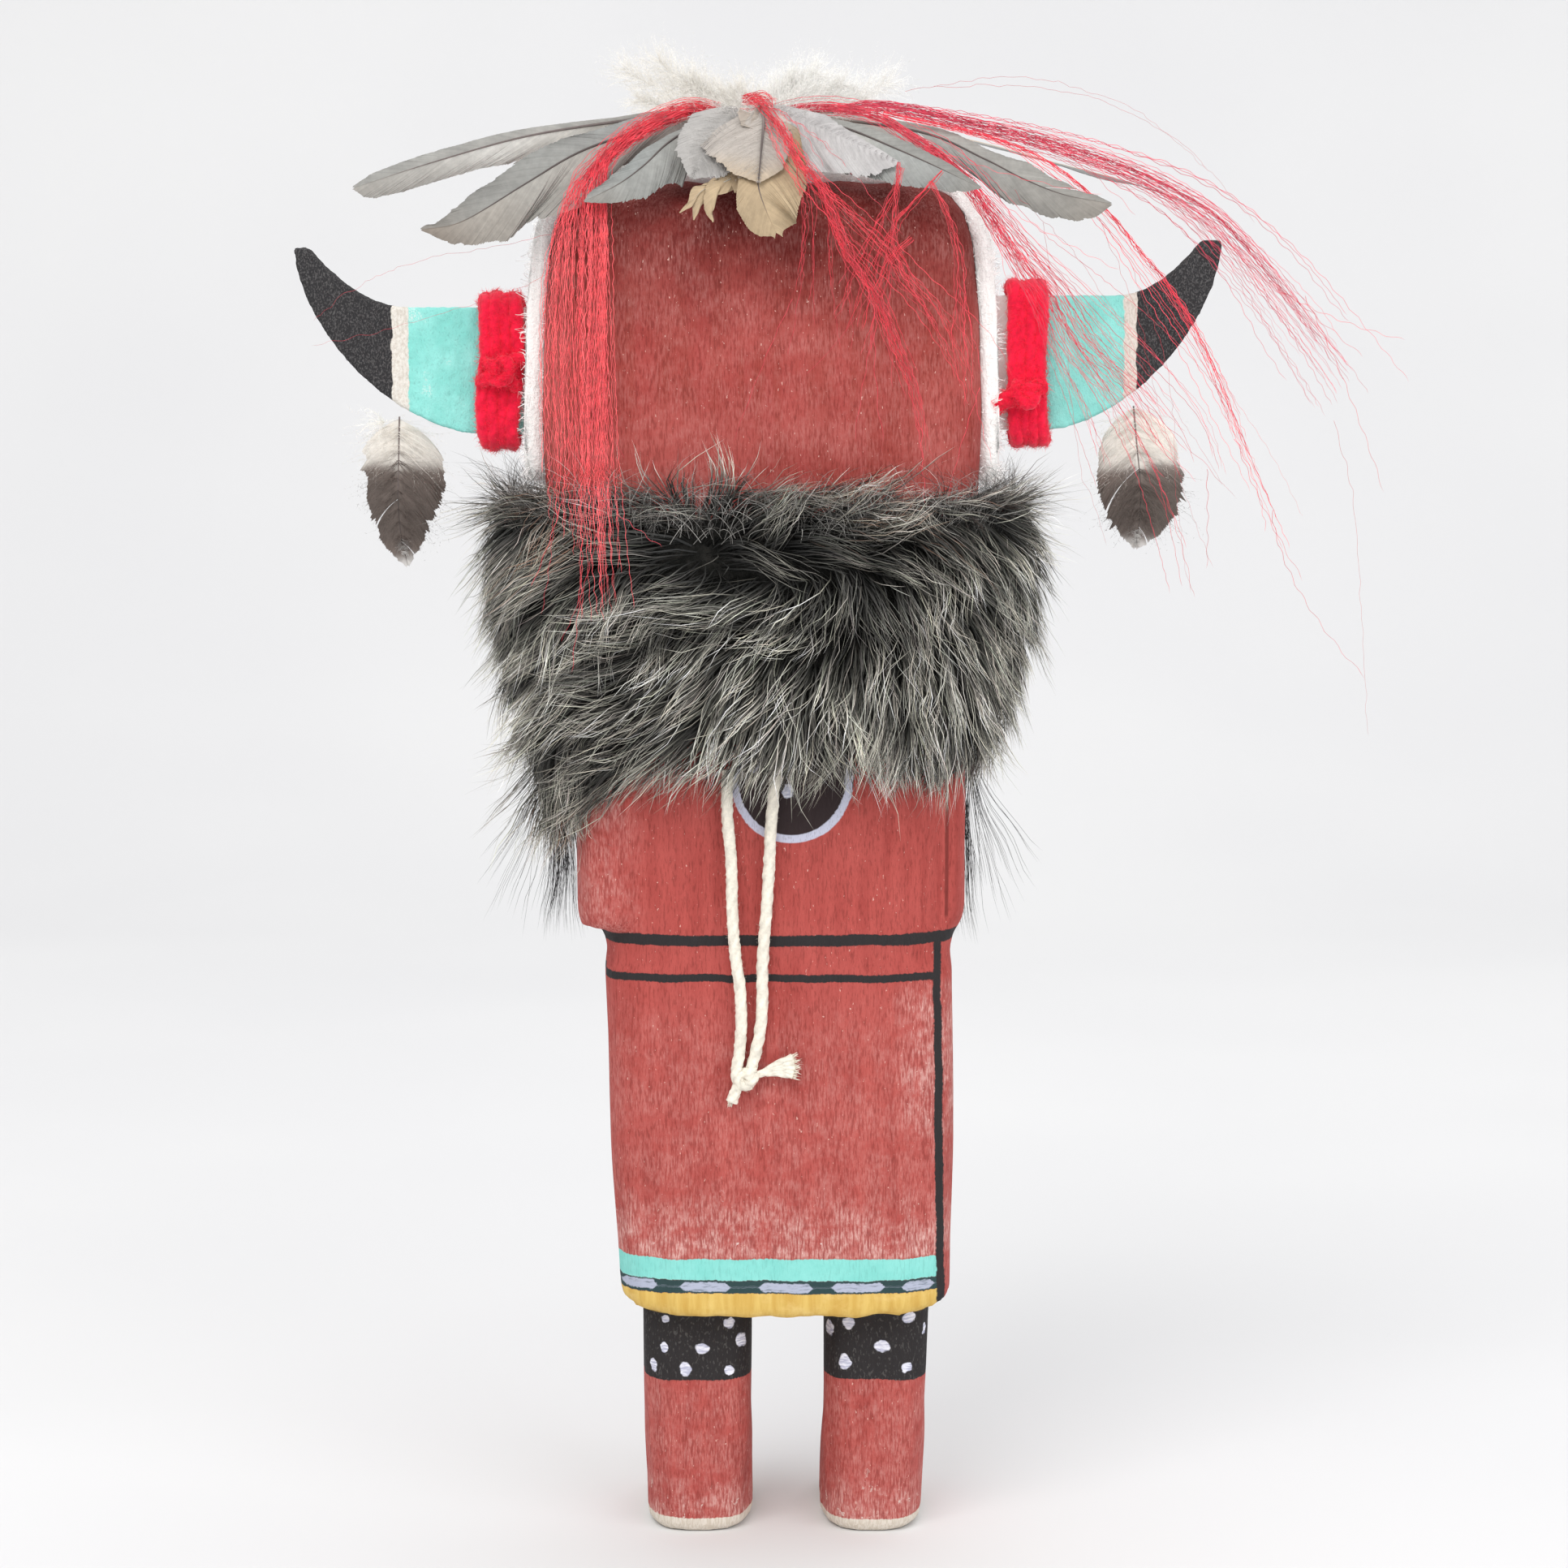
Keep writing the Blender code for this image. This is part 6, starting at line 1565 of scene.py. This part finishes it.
# Each bundle as the lines that its hairs follow: places in the doll's frame in mm, how many hairs, and how
# far they spread at the start, in the middle and at the end
HAIR = {
    "hair_left": (
        (((-13.0, -6, 292.6), (-18.4, -9.6, 293.4), (-24.0, -12.5, 291.6), (-30.4, -15.4, 288.0), (-35.4, -19.4, 282.8),
          (-36.6, -22.4, 277.5), (-36.6, -24.2, 270.5), (-36.6, -25.3, 262), (-37.0, -25.5, 244), (-37.0, -26, 223.5),
          (-36.6, -35, 217.0), (-35.8, -41, 203), (-34.8, -42, 190)), 50, (1.3, 1.5, 1.7)),
        (((-13.0, -6, 292.0), (-18.8, -9.6, 292.6), (-24.6, -12.8, 290.4), (-31.0, -16, 286.4), (-36.6, -20.0, 281.0),
          (-39.4, -22.6, 276.4), (-39.8, -24.5, 268), (-40.4, -25.3, 244), (-40.2, -26, 223.5), (-39.8, -35, 216.5),
          (-39.2, -41, 203)), 38, (1.3, 2.0, 1.6)),
        (((-13.0, -6, 291.6), (-19.2, -9.8, 291.8), (-25.6, -13.2, 289.2), (-32.2, -17, 285.0), (-38.0, -21.0, 279.6),
          (-41.2, -23.4, 274.6), (-43.0, -24.8, 266), (-44.0, -25.3, 244), (-43.6, -26, 223.5), (-43.4, -35, 216),
          (-43.0, -40.5, 206)), 24, (1.3, 2.0, 1.5)),
        (((-13.0, -6, 291.6), (-19.2, -9.8, 291.4), (-26.0, -13.4, 288.2), (-33.0, -17.4, 284.0), (-38.8, -21.4, 279.0),
          (-42.6, -24.0, 273.6), (-46.0, -24.9, 260), (-46.6, -25.2, 240), (-46.4, -27, 223.5), (-46.4, -36, 214.0)),
         9, (1.3, 1.6, 1.8)),
    ),
    "hair_middle": (
        (((-6.4, -9.6, 295.0), (-4.4, -14, 293.4), (-0.6, -21.5, 288.4), (2.4, -29, 282.6), (5.0, -32, 278.8),
          (7.9, -31, 275.2), (12.4, -27.5, 263.8), (15.7, -26, 259.3), (19.0, -25, 253.6), (22.3, -24.6, 245.4),
          (25.6, -24.6, 237.2), (27.3, -25, 229.4), (29.0, -30, 219.9)), 20, (1.3, 1.1, 0.9)),
        (((-8.2, -10.4, 294.6), (-5.0, -12.6, 294.2), (-2.4, -15.0, 292.2)), 46, (1.4, 1.5, 0.8)),
        ((*TO_MIDDLE, (3.3, -30, 280.5), (7.9, -31, 276.0),
          (15.7, -28, 268.7), (21.4, -26.5, 263.4), (24.3, -25.6, 258.5), (28.9, -25, 253.6), (33.0, -24.8, 245.4),
          (37.4, -24.8, 237.0)), 8, (0.9, 1.3, 1.4)),
        (((23.0, -29, 280.0), (21.8, -28, 276.0), (18.1, -26.5, 268.7), (14.9, -25.2, 260.9), (12.4, -24.8, 253.6),
          (8.7, -24.8, 247.0)), 7, (0.5, 0.8, 1.6)),
        (((22.6, -29, 281.0), (21.8, -26.6, 267.0), (23.5, -25.4, 261.7), (25.1, -25, 258.5), (29.4, -24.8, 252.2)),
         6, (0.4, 0.8, 1.2)),
        (((31.0, -28, 279.5), (26.3, -28, 274.4), (22.2, -26.6, 269.9), (19.8, -25.6, 264.2), (18.2, -25, 258.5),
          (15.2, -24.8, 251.8)), 7, (0.5, 0.9, 1.5)),
        ((*TO_MIDDLE, (3.0, -30, 281.0), (4.4, -29.5, 272),
          (3.8, -27, 263.0), (2.5, -25.4, 256.8), (0.2, -24.8, 250.0)), 5, (0.9, 1.2, 1.8)),
        ((*TO_MIDDLE, (4.0, -31, 280.0), (7.9, -30, 273.1),
          (8.3, -27.2, 265.0), (8.7, -25.5, 258.5), (9.1, -24.8, 252.8), (10.2, -24.8, 243.0)), 6, (0.9, 1.2, 1.6)),
        (((25.6, -27, 266.0), (21.4, -25.8, 261.7), (19.8, -25, 256.8), (18.2, -24.8, 249.5), (16.6, -24.8, 242.0)),
         6, (0.7, 1.1, 1.6)),
        (((28.8, -28, 277.4), (32.1, -27.5, 271.1), (34.6, -26, 263.0), (35.0, -25, 258.5), (35.9, -24.8, 244.6),
          (37.2, -24.8, 232.3)), 7, (0.7, 1.6, 1.8)),
        (((-5.6, -8, 291.6), (-4.1, -14, 291.4), (-1.5, -21.5, 287.6), (2.0, -29.5, 281.4), (8, -31.5, 275),
          (18, -28, 265), (30, -25, 252), (38, -24.8, 240), (40, -25.2, 230)), 6, (0.9, 2.8, 4.0)),
    ),
    "hair_right": (
        (((-2.0, -7, 292.0), (3.0, -10, 292.8), (9.0, -11, 293.2), (15.6, -12.6, 292.4), (20.4, -15.6, 290.4),
          (24.6, -18.6, 287.4), (30.4, -20, 283.2), (37.0, -20, 277.0), (46.7, -18, 264.2), (54.3, -16, 256.1),
          (59.7, -14, 246.8), (70.3, -12, 236.9), (78.0, -11, 228.1), (86.5, -10, 219.5)), 20, (1.2, 1.1, 4.6)),
        (((-2.0, -7, 291.6), (3.0, -10, 292.2), (9.0, -11, 292.6), (15.6, -12.6, 291.4), (20.4, -15.6, 289.4),
          (24.6, -18.6, 286.6), (29.8, -20, 283.0), (36.0, -20, 277.0), (44.7, -18, 264.2), (51.0, -16, 254.1),
          (56.0, -14, 244.0), (62.0, -12, 233.9), (66.0, -11, 225.1), (69.8, -10, 216.0)), 12, (1.1, 1.1, 4.0)),
        ((*TO_RIGHT, (38.6, -20, 277.4), (49.7, -18, 265.2), (58.0, -16, 257.1),
          (66.7, -14, 247.8), (77.0, -12, 236.9), (84.0, -11, 226.1), (88.5, -10, 209.0)), 11, (1.1, 1.3, 5.0)),
        ((*TO_RIGHT, (37.6, -20, 276.4), (47.0, -18, 262.2), (55.0, -16, 250.1),
          (65.0, -14, 236.8), (74.0, -12, 222.9), (80.0, -11, 208.1), (84.0, -10, 197.0)), 6, (1.1, 1.8, 5.0)),
    ),
    "hair_outer": (
        (((10.0, -4, 292.4), (17.1, -5, 293.8), (25.0, -5, 293.0), (34.2, -5, 290.9), (46.9, -5, 288.1),
          (59.6, -5, 284.4), (72.4, -4, 279.8), (82.1, -3, 274.8), (88.6, -2, 270.4), (96.4, -1, 262.2),
          (103.9, -1, 253.0), (109.9, 0, 245.5), (116.0, 0, 237.4), (120.4, 1, 229.4)), 32, (0.7, 1.0, 1.9)),
        (((10.0, -4, 292.0), (17.1, -5, 293.2), (25.0, -5, 292.2), (34.2, -5, 290.0), (46.9, -5, 287.0),
          (59.6, -5, 283.2), (72.4, -4, 278.2), (82.1, -3, 272.4), (91.5, -3, 263.8), (100.8, -2, 253.2),
          (108.9, -1, 242.0), (114.9, 0, 233.0)), 15, (0.7, 1.5, 4.2)),
        (((10.0, -4, 292.4), (17.1, -5, 294.0), (34.2, -5, 292.0), (56.0, -5, 287.6), (73.6, -5, 281.6),
          (88.3, -4, 273.6), (101.5, -3, 261.2), (111.8, -2, 247.7), (121.9, -1, 233.0)), 8, (0.7, 2.0, 5.2)),
    ),
    "hair_side": (
        (((20.0, -8.5, 292.0), (41.3, -10, 287.0), (54.0, -11.5, 281.3), (64.7, -12, 272.3), (72.4, -11.5, 263.0),
          (75.9, -11, 259.0), (81.9, -10, 250.3), (87.9, -9, 238.6), (93.9, -8, 224.0), (98.7, -6, 214.1),
          (104.5, -4, 201.5)), 12, (0.6, 0.8, 1.8)),
        (((20.0, -8.5, 292.0), (41.3, -10, 287.0), (53.0, -11.5, 280.3), (63.7, -12, 270.3), (73.4, -11.5, 257.0),
          (81.9, -10, 244.3), (88.9, -9, 231.6), (95.9, -8, 219.0), (101.5, -5, 206.5)), 5, (0.6, 1.2, 2.6)),
    ),
}


def make_hair(name, locks, order, material):
    """Crimped strands that follow a few lines and part towards their ends."""
    rng = np.random.default_rng(600 + order)
    batch = Batch()
    for route, count, wide in locks:
        spine = even(curve_through(np.array(route) * MM, 300), 400)
        length = float(np.linalg.norm(np.diff(spine, axis=0), axis=1).sum())
        points = int(np.clip(length / (1.15 * MM), 20, 105))
        spine = even(spine, points)
        _, side, out = frames(spine, np.array((0.05, -1.0, 0.20)))
        t = np.linspace(0, 1, points)
        reach = np.interp(t, (0, 0.45, 1), wide) * MM
        knots = np.linspace(0, 1, 7)
        sway = np.stack([np.interp(t, knots, rng.normal(0, 0.35, 7).cumsum()) for _ in range(count)])
        across = rng.normal(0, 0.62, (count, 1)) + sway * step(0.0, 0.7, t)
        deep = np.clip(rng.normal(0, 0.55, (count, 1)), -1.2, 1.2) + 0.3 * sway[::-1] * t
        line = spine[None] + side[None] * (across * reach)[..., None] + out[None] * (deep * reach * 0.55)[..., None]
        phase = rng.uniform(0, math.tau, (count, 1))
        pitch = rng.uniform(2.8, 5.2, (count, 1)) * MM
        angle = math.tau * t[None] * length / pitch + phase + 0.8 * sway
        swing = rng.uniform(0.10, 0.36, (count, 1)) * MM * (0.4 + 0.6 * step(0.03, 0.20, t)[None])
        line = line + side[None] * (np.sin(angle) * swing)[..., None] + out[None] * (
            np.cos(angle) * swing * 0.5)[..., None]
        if name in ("hair_left", "hair_middle"):
            # Kept clear of the head's back below its top
            clear = np.where(line[..., 2] < HEAD_TOP_EDGE, -23.1 * MM, 1.0)
            line[..., 1] = np.minimum(line[..., 1], clear)
        stop = rng.uniform(0.62, 1.0, count) ** 0.6
        line = np.stack([curve_cut(line[k], stop[k]) for k in range(count)])
        half = 0.050 * MM * np.interp(t, (0, 0.7, 1), (1.0, 0.95, 0.55))[None] * rng.uniform(0.75, 1.25, (count, 1))
        tone = np.array(HAIR_TONES[name]) * rng.uniform(0.74, 1.14, (count, 1, 1)) + rng.uniform(0, 0.03, (count, 1, 1))
        if name == "hair_left":
            tone = tone * mix(np.ones(3), np.array((0.80, 0.36, 0.50)), step(0.262, 0.280, line[..., 2])[..., None])
        way = np.gradient(line, axis=1)
        flat = unit(np.cross(way, np.array((0.1, -1.0, 0.2)) + rng.normal(0, 0.25, (count, 1, 3))))
        batch.ribbons(line, half, flat, np.broadcast_to(tone, line.shape))
        strays(batch, spine, max(2, count // 7), rng)
    put(name + "_strands", batch.mesh(name), material, "red_hair", name)


def curve_cut(line, stop):
    """The first part of a strand, with its crimp kept, as the same number of points."""
    at = np.linspace(0, (len(line) - 1) * stop, len(line))
    low = np.minimum(at.astype(int), len(line) - 2)
    part = (at - low)[:, None]
    return mix(line[low], line[low + 1], part)


def strays(batch, spine, number, rng):
    """Single hairs that leave the bundle and curve away."""
    points = 34
    t = np.linspace(0, 1, points)[None, :, None]
    at = rng.integers(len(spine) // 4, len(spine) - 4, number)
    along = unit(np.gradient(spine, axis=0))[at]
    way = unit(along + rng.normal(0, 0.22, (number, 3)) * (1, 0.3, 1))
    long = rng.uniform(12, 34, (number, 1, 1)) * MM
    line = spine[at][:, None] + way[:, None] * long * t
    line = line + rng.normal(0, 0.22, (number, 1, 3)) * (1, 0.2, 1) * long * t ** 2
    line[..., 2] -= t[..., 0] ** 2 * 5 * MM
    line = line + 0.22 * MM * np.sin(t * long / (4.4 * MM) * math.tau + rng.uniform(0, 6, (number, 1, 1)))
    over_wood = (np.abs(line[..., 0] - HEAD_X) < 0.049) & (line[..., 2] < HEAD_TOP_EDGE)
    line[..., 1] = np.where(over_wood, np.minimum(line[..., 1], HEAD_BACK_Y - 0.8 * MM), line[..., 1])
    half = 0.046 * MM * np.linspace(1.0, 0.6, points)[None] * np.ones((number, 1))
    tone = CRIMSON * rng.uniform(0.6, 1.1, (number, 1, 1))
    flat = unit(np.cross(np.gradient(line, axis=1), np.array((0.1, -1.0, 0.2))))
    batch.ribbons(line, half, flat, np.broadcast_to(tone, line.shape))


def make_long_strays(material):
    """The few very long fine hairs that hang far out on the right and reach across the left horn."""
    rng = np.random.default_rng(650)
    routes = (
        ((113, 0, 230), (117, 0, 215), (119.5, 0, 190), (121, 0, 165)),
        ((-36, -20, 268), (-50, -18, 258), (-68, -14, 252), (-82, -9, 248.2), (-96, -7, 245.5)),
        ((-34, -20, 270), (-52, -18, 266), (-74, -14, 262), (-87, -9, 257), (-96, -7, 250)),
        ((30, -14, 297), (58, -10, 296), (80, -8, 286), (96, -6, 270)),
        ((24, -14, 296), (48, -10, 299), (70, -8, 293), (86, -6, 281)),
        ((70, -10, 262), (78, -8, 240), (80, -8, 215), (83, -8, 195)),
        ((52, -12, 270), (57, -10, 245), (60, -10, 222), (66, -10, 205)),
        ((64, -10, 270), (72, -10, 250), (78, -8, 226), (88, -6, 200)),
        ((46, -16, 276), (60, -13, 262), (74, -11, 240), (92, -9, 214)),
    )
    batch = Batch()
    for route in routes:
        line = curve_through(np.array(route) * MM, 60)
        line = line + 0.22 * MM * np.stack([drift(line, 4 * MM, rng.integers(1000)) for _ in range(3)], axis=1)
        half = 0.036 * MM * np.linspace(1.0, 0.6, 60)
        batch.tubes(line[None], half[None], np.broadcast_to(CRIMSON * 0.8, (1, 60, 3)), reference=(0.12, 0.95, 0.3))
    put("long_hairs", batch.mesh("long_hairs"), material, "red_hair")


def make_beard():
    """Long thin dark hairs under the ruff in front, a tuft past each side of the body and a few that flare."""
    rng = np.random.default_rng(700)
    number, points = BEARD_HAIRS, 9
    at = np.clip(rng.normal(0, 0.50, number), -0.95, 0.95)
    group = rng.random(number)
    way = np.sign(rng.normal(size=number))
    tuft = group < 0.42
    flare = (group >= 0.42) & (group < 0.50)
    t = np.linspace(0, 1, points)[None, :]
    x = HEAD_X + at[:, None] * mix(34, 40, t) * MM + rng.normal(0, 2.5, (number, 1)) * MM * t
    edge = np.where(way > 0, 40.5, -41.5)[:, None] * MM
    beside = HEAD_X + edge + rng.normal(0.8, 1.6, (number, 1)) * way[:, None] * MM + (
        rng.normal(1.2, 2.2, (number, 1)) * way[:, None] * MM * t ** 1.4)
    thrown = HEAD_X + edge + way[:, None] * (3 + rng.uniform(4, 17, (number, 1)) * t ** 1.5) * MM
    x = np.where(tuft[:, None], beside, np.where(flare[:, None], thrown, x))
    depth = np.where(tuft | flare, 24.0, 29.0 - 9.0 * at ** 2)[:, None]
    y = depth * MM + rng.normal(0, 1.6, (number, 1)) * MM + 1.0 * MM * t
    long = np.where(tuft, rng.uniform(30, 46, number), np.where(flare, rng.uniform(24, 42, number),
                                                                rng.uniform(20, 44, number)))[:, None] * MM
    z = 164 * MM - long * t
    line = np.stack((x + 0 * t, y + 0 * t, z + 0 * x), axis=-1)
    line = line + 0.5 * MM * np.stack([drift(line, 14 * MM, 710 + k) for k in range(3)], axis=-1) * t[..., None]
    half = 0.062 * MM * np.linspace(1.0, 0.5, points)[None] * rng.uniform(0.7, 1.2, (number, 1))
    tone = np.array((0.030, 0.028, 0.029)) * rng.uniform(0.4, 1.8, (number, 1, 1))
    batch = Batch()
    batch.tubes(line, half, np.broadcast_to(tone, line.shape), reference=(0.0, 1.0, 0.1))
    material = fibre_paint("black_hair", roughness=0.45, specular=0.3)
    put("beard_hairs", batch.mesh("beard_hairs"), material, "black_hair", "beard")


set_stage()
cotton = fibre_paint("cotton_twine", roughness=0.9, specular=0.15, sheen=0.1, mottle=0.10, pitch=1600.0)
cord_knot = make_knot(cotton)
make_cord("left", CORD_LEFT_ROUTE, cotton)
make_cord("right", CORD_RIGHT_ROUTE, cotton)
make_figure()
make_horn("left", 0.0801, 0.0767)
make_horn("right", 0.0721, 0.0694)
wool = fibre_paint("red_wool", roughness=0.95, specular=0.08, sheen=0.28, mottle=0.14)
make_yarn("left", wool)
make_yarn("right", wool)
make_ruff()
make_fleece()
plumage = fibre_paint("plumage", roughness=0.55, specular=0.25, mottle=0.10, pitch=700.0)
soft_plumage = fibre_paint("soft_plumage", roughness=0.85, specular=0.12, sheen=0.1, mottle=0.06)
make_feathers(plumage)
make_down(soft_plumage)
make_pendant("left", plumage)
make_pendant("right", plumage)
horsehair = fibre_paint("red_horsehair", roughness=0.42, specular=0.4, mottle=0.25, pitch=500.0)
for place, (bundle, shape) in enumerate(HAIR.items()):
    make_hair(bundle, shape, place, horsehair)
make_long_strays(horsehair)
make_beard()
